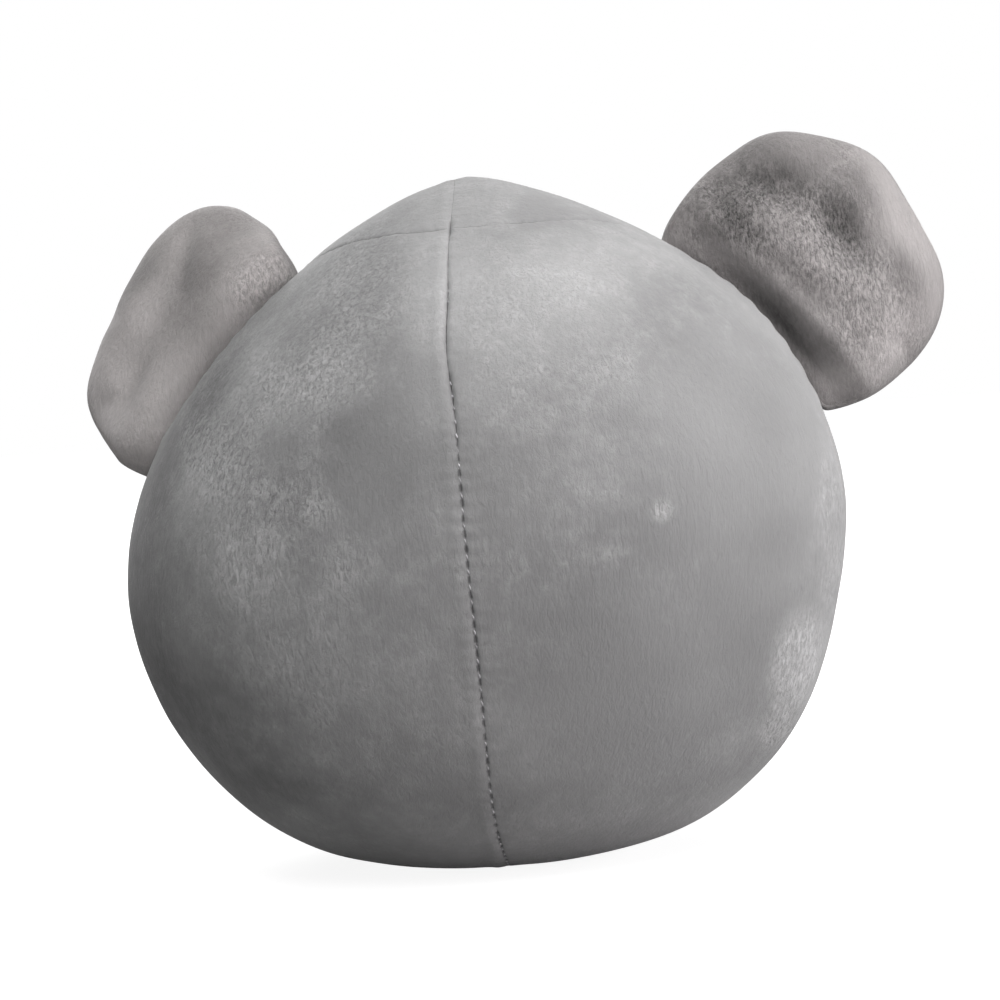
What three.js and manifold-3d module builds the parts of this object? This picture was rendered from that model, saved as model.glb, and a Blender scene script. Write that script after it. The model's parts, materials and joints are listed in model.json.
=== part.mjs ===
// A ball-shaped stuffed elephant whose head and body are one sewn form of four panels.
// Millimetres, +Z up. The face looks along -Y and the toy's own left side is +X.
// The origin lies on the seat plane, under the middle of the body.

import * as THREE from 'three';
import { mergeVertices } from 'three/addons/utils/BufferGeometryUtils.js';
import Module from 'manifold-3d';

const wasm = await Module();
wasm.setup();

// Body form
const BODY_WIDTH = 181;
const BODY_DEPTH = 156;
const CROWN_RISE = 89.5; // crown point above the widest level
const SEAT_DROP = 82.8; // lowest point of the round form below the widest level
const CROWN_EXPONENT = 1.36; // under 2 draws the crown up to a soft point
const SEAT_EXPONENT = 3; // over 2 flattens the underside
const SLUMP = 2.9; // the filling has settled: the right shoulder is fuller by this and the left leaner
const SEAT_FLAT = 0.5; // depth of the flat that the toy stands on

// Sewing
const PANEL_THICKNESS = 2;
const SEAM_GAP = 0.3;
const SEAM_DEPTH = 1.8; // how far the panel edges roll in at a seam
const SEAM_ROLL = 6; // width over which an edge rolls in
const MIDDLE_SEAM_SHIFT = 3; // the middle seam lies this far to the left of the body's middle
const CROWN_SEAM_TILT = 22; // degrees that the crown seam tips back from the upright at the middle
const THREAD_DIAMETER = 0.8;
const THREAD_END_SPACE = 2.5; // space between a thread's end and what it meets
const THREAD_EAR_SPACE = 9; // space between a thread's end and an ear root
const CLEARANCE = 0.3;
const SOCKET_CLEARANCE = 0.6; // round the trunk's root, which turns

// Ears, whose roots are sewn into the seam over the crown
const EAR_ROOT_TOP = 34; // degrees down from the crown, round the body
const EAR_ROOT_BOTTOM = 76;
const EAR_SEAM_FADE = 8; // degrees over which the seam fills up at each end of an ear root
const EAR_ROOT_CLEARANCE = 0.5; // lets the root turn on its seam
const EAR_WIDTH = 70;
const EAR_LENGTH = 47; // from the root's fold line to the tip
const EAR_FULLEST = 16; // height of the widest level above the fold line
const EAR_EXPONENT = 2.7; // over 2 squares the outline a little
const EAR_THICKNESS = 14;
const EAR_RIM_THICKNESS = 3.5;
const EAR_RISE = 10; // height over which the stuffing fills out from the root
const EAR_CUP = 4; // how far the rim stands forward of the middle
const EAR_CUP_RISE = 20; // height over which the cup forms
const EAR_FABRIC = 1.6;
const EAR_EDGE = 0.55; // fabric left at the turned edge
const LEFT_EAR_SWEEP = 42; // degrees forward of straight out
const RIGHT_EAR_SWEEP = 8;

// Trunk
const TRUNK_DROP = 6; // root below the body's widest level
const TRUNK_BALL_DIAMETER = 34; // round root that turns in the socket of the front panels
const TRUNK_SEAT = 4; // depth of the root's centre inside the front surface
const TRUNK_NECK_DIAMETER = 29;
const TRUNK_TIP_DIAMETER = 22;
const TRUNK_LENGTH = 50; // from the root's centre along the bend
const TRUNK_TILT = 8; // degrees below level at the root
const TRUNK_BEND = 40; // further degrees down at the tip
const TRUNK_TIP_ROUND = 9;
const TRUNK_FABRIC = 1.8;

// Eyes, pressed through the front panels into washers
const EYE_SPREAD = 76; // between the two eyes
const EYE_RISE = 13; // above the body's widest level
const EYE_DIAMETER = 14;
const EYE_HEIGHT = 5.5;
const SHANK_DIAMETER = 4;
const SHANK_LENGTH = 10;
const WASHER_DIAMETER = 16;
const WASHER_THICKNESS = 1.6;

// How finely the forms are divided
const ROWS_ACROSS = 10; // from the middle seam to the side of the body
const ROWS_ALONG = 14; // from the crown seam to the seat
const EAR_ROOT_STEPS = 6;
const EAR_RIM_STEPS = 18;
const EAR_RINGS = [0.35, 0.6, 0.82, 0.955, 1];
const WADDING_RINGS = 2; // the wadding fills the first rings of the ear
const TRUNK_SIDES = 14;
const BALL_RINGS = 5;
const NECK_RINGS = 5;
const TIP_RINGS = 3;
const ROUND_SIDES = 16;
const DOME_STEPS = 4;
const SOCKET_SIDES = 20;
const THREAD_SIDES = 4;
const THREAD_STEPS = 20;
const BISECTIONS = 40;
const NORMAL_STEP = 0.01; // of the form's radius
const MERGE_DISTANCE = 1e-4;

const DEGREE = Math.PI / 180;
const LEFT = 1;
const RIGHT = -1;
const BACK = 1;
const FRONT = -1;
const bodyCentre = new THREE.Vector3(0, 0, SEAT_DROP - SEAT_FLAT);
const middleSeam = Math.asin(MIDDLE_SEAM_SHIFT / (BODY_WIDTH / 2));
const slumpPeak = 2 / Math.sqrt(27); // greatest product of a sine, squared, and its cosine

const plush = new THREE.MeshStandardMaterial({ color: 0x9f9d9e, roughness: 0.95, metalness: 0 });
const earPlush = new THREE.MeshStandardMaterial({ color: 0x9d9798, roughness: 0.95, metalness: 0 });
const fibre = new THREE.MeshStandardMaterial({ color: 0xf1efea, roughness: 1, metalness: 0 });
const threadFinish = new THREE.MeshStandardMaterial({ color: 0x77757a, roughness: 0.8, metalness: 0 });
const eyePlastic = new THREE.MeshStandardMaterial({ color: 0x0d0d0f, roughness: 0.12, metalness: 0 });
const washerPlastic = new THREE.MeshStandardMaterial({ color: 0xe6e6e2, roughness: 0.5, metalness: 0 });

const elephant = new THREE.Group();

function addPiece(parent, name, geometry, material) {
  const mesh = new THREE.Mesh(geometry, material);
  mesh.name = name;
  parent.add(mesh);
  return mesh;
}

// A closed surface from points and triangles, turned so that its faces point out.
function closedForm(points, triangles) {
  let volume = 0;
  for (const [a, b, c] of triangles) {
    volume += points[a].dot(points[b].clone().cross(points[c]));
  }
  const outward = volume > 0 ? triangles : triangles.map(([a, b, c]) => [a, c, b]);
  const geometry = new THREE.BufferGeometry().setFromPoints(points);
  geometry.setIndex(outward.flat());
  return geometry;
}

function toSolid(geometry) {
  const bare = geometry.clone();
  bare.deleteAttribute('normal');
  bare.deleteAttribute('uv');
  const merged = mergeVertices(bare, MERGE_DISTANCE);
  const vertProperties = new Float32Array(merged.attributes.position.array);
  const triVerts = new Uint32Array(merged.index.array);
  return new wasm.Manifold(new wasm.Mesh({ numProp: 3, vertProperties, triVerts }));
}

function toGeometry(solid) {
  const mesh = solid.getMesh();
  const geometry = new THREE.BufferGeometry();
  geometry.setAttribute('position', new THREE.BufferAttribute(new Float32Array(mesh.vertProperties), 3));
  geometry.setIndex(new THREE.BufferAttribute(new Uint32Array(mesh.triVerts), 1));
  return geometry;
}

function cut(geometry, ...tools) {
  let solid = toSolid(geometry);
  for (const tool of tools) {
    solid = solid.subtract(toSolid(tool));
  }
  return toGeometry(solid);
}

// A share of 0 to 1 that moves slowly at both ends.
function eased(step, steps) {
  return (1 - Math.cos((Math.PI * step) / steps)) / 2;
}

function smooth(share) {
  const held = Math.min(1, Math.max(0, share));
  return held * held * (3 - 2 * held);
}

// Body form. A direction from the body's centre is given by two angles: across, from the
// upright plane towards the toy's left, and along, round the body from the crown to the back.
function direction(across, along) {
  const reach = Math.cos(across);
  return new THREE.Vector3(Math.sin(across), reach * Math.sin(along), reach * Math.cos(along));
}

function formRadius(toward) {
  const level = Math.hypot(toward.x / (BODY_WIDTH / 2), toward.y / (BODY_DEPTH / 2));
  const upright = Math.abs(toward.z) / (toward.z > 0 ? CROWN_RISE : SEAT_DROP);
  const exponent = toward.z > 0 ? CROWN_EXPONENT : SEAT_EXPONENT;
  let inside = 0;
  let outside = BODY_WIDTH + BODY_DEPTH + CROWN_RISE + SEAT_DROP;
  for (let i = 0; i < BISECTIONS; i += 1) {
    const middle = (inside + outside) / 2;
    if ((level * middle) ** exponent + (upright * middle) ** 2 < 1) {
      inside = middle;
    } else {
      outside = middle;
    }
  }
  const shoulder = (toward.x * toward.z * Math.hypot(toward.x, toward.y)) / slumpPeak;
  return inside - SLUMP * shoulder;
}

// The crown seam runs behind the crown point and meets the upright plane at the ears.
function crownSeam(across) {
  const share = Math.abs(across) / (EAR_ROOT_TOP * DEGREE);
  return CROWN_SEAM_TILT * DEGREE * Math.max(0, 1 - share * share);
}

// Panel edges roll in along the seams, except where an ear fills the seam.
function seamRoll(across, along, radius) {
  const fromMiddle = radius * Math.abs(across - middleSeam);
  const fromCrown = radius * Math.cos(across) * Math.abs(along - crownSeam(across));
  const fromSeat = radius * Math.cos(across) * (Math.PI - Math.abs(along));
  const angle = Math.abs(across) / DEGREE;
  const filledAbove = smooth((angle - EAR_ROOT_TOP) / EAR_SEAM_FADE);
  const filledBelow = smooth((EAR_ROOT_BOTTOM - angle) / EAR_SEAM_FADE);
  const crownRoll = Math.max(0, 1 - fromCrown / SEAM_ROLL) * (1 - filledAbove * filledBelow);
  const seatRoll = Math.max(0, 1 - fromSeat / SEAM_ROLL);
  const middleRoll = Math.max(0, 1 - fromMiddle / SEAM_ROLL);
  return SEAM_DEPTH * Math.max(crownRoll, seatRoll, middleRoll) ** 2;
}

function bodyPoint(across, along, outset) {
  const toward = direction(across, along);
  const radius = formRadius(toward);
  const distance = radius - seamRoll(across, along, radius) + outset;
  return toward.multiplyScalar(distance).add(bodyCentre);
}

function formPoint(toward) {
  return toward.clone().multiplyScalar(formRadius(toward)).add(bodyCentre);
}

function formNormal(toward) {
  const side = new THREE.Vector3(0, 0, 1).cross(toward).normalize();
  const up = toward.clone().cross(side);
  const here = formPoint(toward);
  const aside = formPoint(toward.clone().addScaledVector(side, NORMAL_STEP).normalize()).sub(here);
  const above = formPoint(toward.clone().addScaledVector(up, NORMAL_STEP).normalize()).sub(here);
  return aside.cross(above).normalize();
}

// One row of a panel, from the crown seam to the seat seam, half a seam gap short of each.
function panelRow(side, face, row, outset) {
  const radius = BODY_WIDTH / 2;
  const start = middleSeam + (side * SEAM_GAP) / 2 / radius;
  const across = start + eased(row, ROWS_ACROSS) * ((side * Math.PI) / 2 - start);
  const halfGap = SEAM_GAP / 2 / (radius * Math.cos(across));
  const top = crownSeam(across) + face * halfGap;
  const bottom = face * (Math.PI - halfGap);
  const points = [];
  for (let column = 0; column <= ROWS_ALONG; column += 1) {
    const along = top + eased(column, ROWS_ALONG) * (bottom - top);
    points.push(bodyPoint(across, along, outset));
  }
  return points;
}

// A panel is a curved shell: an outer skin, an inner skin and the edge between them. Its rows
// close on a point at the side of the body, where the seam passes.
function panelForm(side, face) {
  const points = [];
  const triangles = [];
  const skinSize = ROWS_ACROSS * (ROWS_ALONG + 1) + 1;
  const tip = skinSize - 1;
  for (const outset of [0, -PANEL_THICKNESS]) {
    for (let row = 0; row < ROWS_ACROSS; row += 1) {
      points.push(...panelRow(side, face, row, outset));
    }
    const end = direction((side * Math.PI) / 2, 0);
    const reach = formRadius(end) - SEAM_DEPTH + outset;
    points.push(end.multiplyScalar(reach).add(bodyCentre).setY((face * SEAM_GAP) / 2));
  }
  const at = (row, column) => row * (ROWS_ALONG + 1) + column;
  const skin = [];
  for (let row = 0; row < ROWS_ACROSS - 1; row += 1) {
    for (let column = 0; column < ROWS_ALONG; column += 1) {
      skin.push([at(row, column), at(row, column + 1), at(row + 1, column + 1)]);
      skin.push([at(row, column), at(row + 1, column + 1), at(row + 1, column)]);
    }
  }
  for (let column = 0; column < ROWS_ALONG; column += 1) {
    skin.push([at(ROWS_ACROSS - 1, column), at(ROWS_ACROSS - 1, column + 1), tip]);
  }
  triangles.push(...skin);
  triangles.push(...skin.map(([a, b, c]) => [a + skinSize, c + skinSize, b + skinSize]));

  const border = [];
  for (let column = ROWS_ALONG; column > 0; column -= 1) {
    border.push(at(0, column));
  }
  for (let row = 0; row < ROWS_ACROSS; row += 1) {
    border.push(at(row, 0));
  }
  border.push(tip);
  for (let row = ROWS_ACROSS - 1; row > 0; row -= 1) {
    border.push(at(row, ROWS_ALONG));
  }
  border.forEach((here, i) => {
    const next = border[(i + 1) % border.length];
    triangles.push([here, next + skinSize, here + skinSize]);
    triangles.push([here, next, next + skinSize]);
  });
  return closedForm(points, triangles);
}

// The filling is one cushion of loose fibre that follows the panels from inside.
function fillingForm() {
  const outset = -PANEL_THICKNESS - CLEARANCE;
  const points = [];
  const triangles = [];
  const columns = 2 * ROWS_ALONG;
  const rows = 2 * ROWS_ACROSS - 1;
  for (let row = 1; row <= rows; row += 1) {
    const fromMiddle = row - ROWS_ACROSS;
    const side = Math.sign(fromMiddle);
    const share = eased(Math.abs(fromMiddle), ROWS_ACROSS);
    const across = middleSeam + share * ((side * Math.PI) / 2 - middleSeam);
    const top = crownSeam(across);
    for (let column = 0; column < columns; column += 1) {
      const face = column < ROWS_ALONG ? BACK : FRONT;
      const step = column < ROWS_ALONG ? column : columns - column;
      const along = top + eased(step, ROWS_ALONG) * (face * Math.PI - top);
      points.push(bodyPoint(across, along, outset));
    }
  }
  const poles = [RIGHT, LEFT].map((side) => {
    const end = direction((side * Math.PI) / 2, 0);
    return end.multiplyScalar(formRadius(end) - SEAM_DEPTH + outset).add(bodyCentre);
  });
  const firstPole = points.length;
  points.push(...poles);
  for (let column = 0; column < columns; column += 1) {
    const next = (column + 1) % columns;
    for (let row = 0; row < rows - 1; row += 1) {
      const a = row * columns + column;
      const b = row * columns + next;
      const c = b + columns;
      const d = a + columns;
      // Each facet is split along the same diagonal as the panel's facet outside it.
      const mirrored = (row < ROWS_ACROSS - 1) === (column < ROWS_ALONG);
      triangles.push(...(mirrored ? [[a, b, d], [b, c, d]] : [[a, b, c], [a, c, d]]));
    }
    triangles.push([firstPole, next, column]);
    const last = (rows - 1) * columns;
    triangles.push([firstPole + 1, last + column, last + next]);
  }
  return closedForm(points, triangles);
}

// Trunk, a bent tube that starts in a ball and ends in a rounded tip. In its own frame the zero
// is the ball's centre, about which it turns.
const trunkRoot = direction(middleSeam, -Math.PI / 2 - Math.asin(TRUNK_DROP / (BODY_DEPTH / 2)));
const trunkPivot = formPoint(trunkRoot).addScaledVector(formNormal(trunkRoot), -TRUNK_SEAT);

// The distance runs from the root's centre, straight inside the ball and on an arc past it.
function trunkAngle(distance) {
  return (TRUNK_TILT + (TRUNK_BEND * Math.max(0, distance)) / TRUNK_LENGTH) * DEGREE;
}

function trunkSpine(distance) {
  const start = trunkAngle(0);
  const angle = trunkAngle(distance);
  const turn = (TRUNK_BEND * DEGREE) / TRUNK_LENGTH;
  const straight = Math.min(0, distance);
  const forward = straight * Math.cos(start) + (Math.sin(angle) - Math.sin(start)) / turn;
  const down = straight * Math.sin(start) + (Math.cos(start) - Math.cos(angle)) / turn;
  return new THREE.Vector3(0, -forward, -down);
}

function trunkProfile(inset) {
  const ball = TRUNK_BALL_DIAMETER / 2 - inset;
  const neck = TRUNK_NECK_DIAMETER / 2 - inset;
  const tip = TRUNK_TIP_DIAMETER / 2 - inset;
  const end = TRUNK_LENGTH - inset;
  const round = TRUNK_TIP_ROUND - inset;
  const neckStart = Math.sqrt(ball * ball - neck * neck);
  const roundStart = end - round;
  const neckAngle = Math.PI - Math.asin(neck / ball);
  const rings = [];
  for (let ring = 1; ring <= BALL_RINGS; ring += 1) {
    const angle = (neckAngle * ring) / BALL_RINGS;
    rings.push([-ball * Math.cos(angle), ball * Math.sin(angle)]);
  }
  for (let ring = 1; ring <= NECK_RINGS; ring += 1) {
    const share = ring / NECK_RINGS;
    rings.push([neckStart + share * (roundStart - neckStart), neck + share * (tip - neck)]);
  }
  for (let ring = 1; ring <= TIP_RINGS; ring += 1) {
    const angle = ((Math.PI / 2) * ring) / (TIP_RINGS + 1);
    rings.push([roundStart + round * Math.sin(angle), tip * Math.cos(angle)]);
  }
  return { start: -ball, rings, end };
}

function trunkForm(inset) {
  const { start, rings, end } = trunkProfile(inset);
  const points = [];
  const triangles = [];
  for (const [distance, radius] of rings) {
    const centre = trunkSpine(distance);
    const angle = trunkAngle(distance);
    const upright = new THREE.Vector3(0, -Math.sin(angle), Math.cos(angle));
    for (let side = 0; side < TRUNK_SIDES; side += 1) {
      const turn = (2 * Math.PI * (side + 0.5)) / TRUNK_SIDES;
      const point = centre.clone().addScaledVector(upright, radius * Math.cos(turn));
      points.push(point.setX(radius * Math.sin(turn)));
    }
  }
  const first = points.length;
  const last = first + 1;
  points.push(trunkSpine(start), trunkSpine(end));
  for (let side = 0; side < TRUNK_SIDES; side += 1) {
    const next = (side + 1) % TRUNK_SIDES;
    for (let ring = 0; ring < rings.length - 1; ring += 1) {
      const here = ring * TRUNK_SIDES;
      const there = here + TRUNK_SIDES;
      triangles.push([here + side, there + side, there + next]);
      triangles.push([here + side, there + next, here + next]);
    }
    triangles.push([first, side, next]);
    const rim = (rings.length - 1) * TRUNK_SIDES;
    triangles.push([last, rim + next, rim + side]);
  }
  return closedForm(points, triangles);
}

function buildTrunk() {
  const trunk = new THREE.Group();
  trunk.position.copy(trunkPivot);
  const shell = cut(trunkForm(0), trunkForm(TRUNK_FABRIC));
  const reach = 2 * (TRUNK_LENGTH + TRUNK_BALL_DIAMETER);
  const halves = { trunk_left: LEFT, trunk_right: RIGHT };
  for (const [name, side] of Object.entries(halves)) {
    const away = new THREE.BoxGeometry(reach, reach, reach);
    away.translate(side * (SEAM_GAP / 2 - reach / 2), 0, 0);
    addPiece(trunk, name, cut(shell, away), plush);
  }
  addPiece(trunk, 'trunk_filling', trunkForm(TRUNK_FABRIC + CLEARANCE), fibre);
  return trunk;
}

// Eyes: a dome on a shank, and the washer that grips the shank behind the fabric. An eye's own
// Y axis is square to the body, with its zero on the round form.
function eyePlace(side) {
  const toward = new THREE.Vector3((side * EYE_SPREAD) / 2, -BODY_DEPTH / 2, EYE_RISE).normalize();
  const place = new THREE.Object3D();
  place.position.copy(formPoint(toward));
  place.quaternion.setFromUnitVectors(new THREE.Vector3(0, 1, 0), formNormal(toward));
  place.updateMatrix();
  return place;
}

// Heights of a panel's outer and inner skin around a round foot of this diameter.
function skinsUnder(panel, place, diameter) {
  const mesh = new THREE.Mesh(panel, new THREE.MeshBasicMaterial({ side: THREE.DoubleSide }));
  const inward = new THREE.Vector3(0, -1, 0).applyQuaternion(place.quaternion);
  let outer = -Infinity;
  let inner = Infinity;
  for (let side = 0; side < ROUND_SIDES; side += 1) {
    const turn = (2 * Math.PI * side) / ROUND_SIDES;
    const start = new THREE.Vector3(Math.cos(turn), 0, Math.sin(turn)).multiplyScalar(diameter / 2);
    start.setY(EYE_HEIGHT).applyMatrix4(place.matrix);
    const [first, second] = new THREE.Raycaster(start, inward).intersectObject(mesh);
    outer = Math.max(outer, EYE_HEIGHT - first.distance);
    inner = Math.min(inner, EYE_HEIGHT - second.distance);
  }
  return { outer, inner };
}

// A round form from a profile of radii and heights.
function turned(profile) {
  const points = profile.map(([radius, height]) => new THREE.Vector2(radius, height));
  return new THREE.LatheGeometry(points, ROUND_SIDES);
}

function eyeForm(seat) {
  const shank = SHANK_DIAMETER / 2;
  const foot = seat - SHANK_LENGTH;
  const profile = [[0, foot], [shank, foot], [shank, seat]];
  for (let step = 0; step < DOME_STEPS; step += 1) {
    const angle = ((Math.PI / 2) * step) / DOME_STEPS;
    profile.push([(EYE_DIAMETER / 2) * Math.cos(angle), seat + EYE_HEIGHT * Math.sin(angle)]);
  }
  profile.push([0, seat + EYE_HEIGHT]);
  return turned(profile);
}

function washerForm(near) {
  const inner = SHANK_DIAMETER / 2 + CLEARANCE;
  const outer = WASHER_DIAMETER / 2;
  const far = near - WASHER_THICKNESS;
  return turned([[inner, far], [outer, far], [outer, near], [inner, near], [inner, far]]);
}

function roundRoom(place, diameter, near, far) {
  const room = new THREE.CylinderGeometry(diameter / 2, diameter / 2, near - far, ROUND_SIDES);
  room.translate(0, (near + far) / 2, 0);
  return room.applyMatrix4(place.matrix);
}

// Adds one eye and its washer, and returns the room that they need in the panel and the filling.
function addEye(side, panel) {
  const prefix = side === LEFT ? 'left' : 'right';
  const place = eyePlace(side);
  const seat = skinsUnder(panel, place, EYE_DIAMETER).outer + CLEARANCE;
  const grip = skinsUnder(panel, place, WASHER_DIAMETER).inner - CLEARANCE;
  const far = Math.min(seat - SHANK_LENGTH, grip - WASHER_THICKNESS) - CLEARANCE;
  const pieces = [
    addPiece(elephant, `${prefix}_eye`, eyeForm(seat), eyePlastic),
    addPiece(elephant, `${prefix}_eye_washer`, washerForm(grip), washerPlastic),
  ];
  for (const piece of pieces) {
    piece.position.copy(place.position);
    piece.quaternion.copy(place.quaternion);
  }
  return {
    inPanel: roundRoom(place, SHANK_DIAMETER + 2 * CLEARANCE, EYE_HEIGHT, far),
    inFilling: roundRoom(place, WASHER_DIAMETER + 2 * CLEARANCE, EYE_HEIGHT, far),
  };
}

// Ears. In an ear's own frame X follows the root, Y stands out of the body and Z faces forward.
function earRootSeam(side) {
  const points = [];
  for (let step = 0; step <= EAR_ROOT_STEPS; step += 1) {
    const share = step / EAR_ROOT_STEPS;
    const angle = EAR_ROOT_TOP + share * (EAR_ROOT_BOTTOM - EAR_ROOT_TOP);
    points.push(formPoint(direction(side * angle * DEGREE, 0)));
  }
  return side === LEFT ? points : points.reverse();
}

function earFrame(side) {
  const seam = earRootSeam(side);
  const start = seam[0];
  const end = seam[seam.length - 1];
  const alongRoot = end.clone().sub(start).normalize();
  const middle = start.clone().add(end).multiplyScalar(0.5);
  const outward = middle.clone().sub(bodyCentre);
  outward.addScaledVector(alongRoot, -outward.dot(alongRoot)).normalize();
  const heights = seam.map((point) => point.clone().sub(middle).dot(outward));
  const fold = Math.max(...heights) + EAR_RIM_THICKNESS / 2 + EAR_ROOT_CLEARANCE;
  const origin = middle.addScaledVector(outward, fold);
  const forward = alongRoot.clone().cross(outward);
  return { seam, origin, basis: new THREE.Matrix4().makeBasis(alongRoot, outward, forward) };
}

// The ear's flat outline: its root follows the body, and its free edge is a squared oval.
function earOutline(frame) {
  const toLocal = frame.basis.clone().transpose();
  const root = frame.seam.map((point) => {
    const local = point.clone().sub(frame.origin).applyMatrix4(toLocal);
    return new THREE.Vector2(local.x, local.y + EAR_ROOT_CLEARANCE);
  });
  const halfWidth = EAR_WIDTH / 2;
  const halfLength = EAR_LENGTH - EAR_FULLEST;
  const first = root[root.length - 1];
  const last = root[0];
  const startAngle = Math.atan2(first.y - EAR_FULLEST, first.x);
  const endAngle = Math.atan2(last.y - EAR_FULLEST, last.x) + 2 * Math.PI;
  const rim = [];
  for (let step = 1; step < EAR_RIM_STEPS; step += 1) {
    const angle = startAngle + (step / EAR_RIM_STEPS) * (endAngle - startAngle);
    const across = Math.abs(Math.cos(angle)) / halfWidth;
    const up = Math.abs(Math.sin(angle)) / halfLength;
    const radius = (across ** EAR_EXPONENT + up ** EAR_EXPONENT) ** (-1 / EAR_EXPONENT);
    rim.push(new THREE.Vector2(radius * Math.cos(angle), EAR_FULLEST + radius * Math.sin(angle)));
  }
  return [...root, ...rim];
}

// A share of 0 at the sewn root, and of 1 where the ear is free of it.
function aboveRoot(height) {
  return smooth((height + EAR_RIM_THICKNESS) / EAR_RISE);
}

function earHalfThickness(share, height) {
  if (share === 1) {
    return SEAM_GAP / 2 + EAR_EDGE;
  }
  const stuffed = (1 - share * share) * aboveRoot(height);
  return EAR_RIM_THICKNESS / 2 + ((EAR_THICKNESS - EAR_RIM_THICKNESS) / 2) * stuffed;
}

// A pillow over the first rings of an outline, between two heights given for each place.
function earLayer(outline, rings, upper, lower) {
  const centre = new THREE.Vector2(0, EAR_FULLEST);
  const points = [];
  const triangles = [];
  const count = outline.length;
  const skinSize = rings.length * count + 1;
  const place = (share, flat, height) => {
    const cup = EAR_CUP * share * share * smooth(flat.y / EAR_CUP_RISE);
    return new THREE.Vector3(flat.x, flat.y, cup + height(share, flat.y));
  };
  for (const height of [upper, lower]) {
    for (const share of rings) {
      for (const rimPoint of outline) {
        points.push(place(share, centre.clone().lerp(rimPoint, share), height));
      }
    }
    points.push(place(0, centre, height));
  }
  const skin = [];
  for (let i = 0; i < count; i += 1) {
    const next = (i + 1) % count;
    skin.push([skinSize - 1, i, next]);
    for (let ring = 0; ring < rings.length - 1; ring += 1) {
      const here = ring * count;
      skin.push([here + i, here + count + i, here + count + next]);
      skin.push([here + i, here + count + next, here + next]);
    }
    const edge = (rings.length - 1) * count;
    triangles.push([edge + i, edge + skinSize + i, edge + skinSize + next]);
    triangles.push([edge + i, edge + skinSize + next, edge + next]);
  }
  triangles.push(...skin);
  triangles.push(...skin.map(([a, b, c]) => [a + skinSize, c + skinSize, b + skinSize]));
  return closedForm(points, triangles);
}

function buildEar(side, sweep) {
  const prefix = side === LEFT ? 'left' : 'right';
  const frame = earFrame(side);
  const outline = earOutline(frame);
  const outer = earHalfThickness;
  const inner = (share, height) => (share === 1 ? SEAM_GAP / 2 : outer(share, height) - EAR_FABRIC);
  const wadding = (share, height) => inner(share, height) - CLEARANCE;
  const mirrored = (surface) => (share, height) => -surface(share, height);

  const ear = new THREE.Group();
  ear.position.copy(frame.origin);
  ear.quaternion.setFromRotationMatrix(frame.basis);
  ear.rotateX(sweep * DEGREE);
  const filled = EAR_RINGS.slice(0, WADDING_RINGS);
  const front = earLayer(outline, EAR_RINGS, outer, inner);
  const back = earLayer(outline, EAR_RINGS, mirrored(outer), mirrored(inner));
  const middle = earLayer(outline, filled, wadding, mirrored(wadding));
  addPiece(ear, `${prefix}_ear_front`, front, earPlush);
  addPiece(ear, `${prefix}_ear_back`, back, earPlush);
  addPiece(ear, `${prefix}_ear_wadding`, middle, fibre);
  return ear;
}

// Sewing threads lie in the rolled-in seams. Each follows a list of directions on the body.
function threadForm(route) {
  const radius = THREAD_DIAMETER / 2;
  const depth = -SEAM_DEPTH + CLEARANCE + radius;
  const points = route.map(([across, along]) => {
    const toward = direction(across, along);
    return toward.multiplyScalar(formRadius(toward) + depth).add(bodyCentre);
  });
  const section = new THREE.Shape().absarc(0, 0, radius, 0, 2 * Math.PI);
  return new THREE.ExtrudeGeometry(section, {
    curveSegments: THREAD_SIDES / 2,
    steps: THREAD_STEPS,
    extrudePath: new THREE.CatmullRomCurve3(points),
  });
}

// Two places on a seam and the panel rows between them, so that a thread keeps to the panel edges.
function stations(from, to, rows) {
  const low = Math.min(from, to);
  const high = Math.max(from, to);
  const inside = rows.filter((angle) => angle > low && angle < high).sort((a, b) => a - b);
  return [from, ...(from < to ? inside : inside.reverse()), to];
}

function addThread(name, route) {
  addPiece(elephant, name, threadForm(route), threadFinish);
}

function addMiddleThreads() {
  const endSpace = THREAD_END_SPACE / (BODY_WIDTH / 2);
  const top = crownSeam(middleSeam);
  const seat = Math.PI - endSpace;
  const columns = Array.from({ length: ROWS_ALONG + 1 }, (_, column) => eased(column, ROWS_ALONG));
  const backRows = columns.map((share) => top + share * (Math.PI - top));
  const frontRows = columns.map((share) => top + share * (-Math.PI - top));
  const rootAngle = Math.atan2(trunkRoot.y, trunkRoot.z);
  const socketReach = Math.asin((TRUNK_BALL_DIAMETER / 2 + THREAD_END_SPACE) / (BODY_DEPTH / 2));
  const onMiddle = (along) => [middleSeam, along];
  const back = stations(top + endSpace, seat, backRows);
  const brow = stations(top - endSpace, rootAngle + socketReach, frontRows);
  const chin = stations(rootAngle - socketReach, -seat, frontRows);
  addThread('back_seam_thread', back.map(onMiddle));
  addThread('brow_seam_thread', brow.map(onMiddle));
  addThread('chin_seam_thread', chin.map(onMiddle));
}

function sideRows(side) {
  const shares = Array.from({ length: ROWS_ACROSS + 1 }, (_, row) => eased(row, ROWS_ACROSS));
  return shares.map((share) => middleSeam + share * ((side * Math.PI) / 2 - middleSeam));
}

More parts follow.
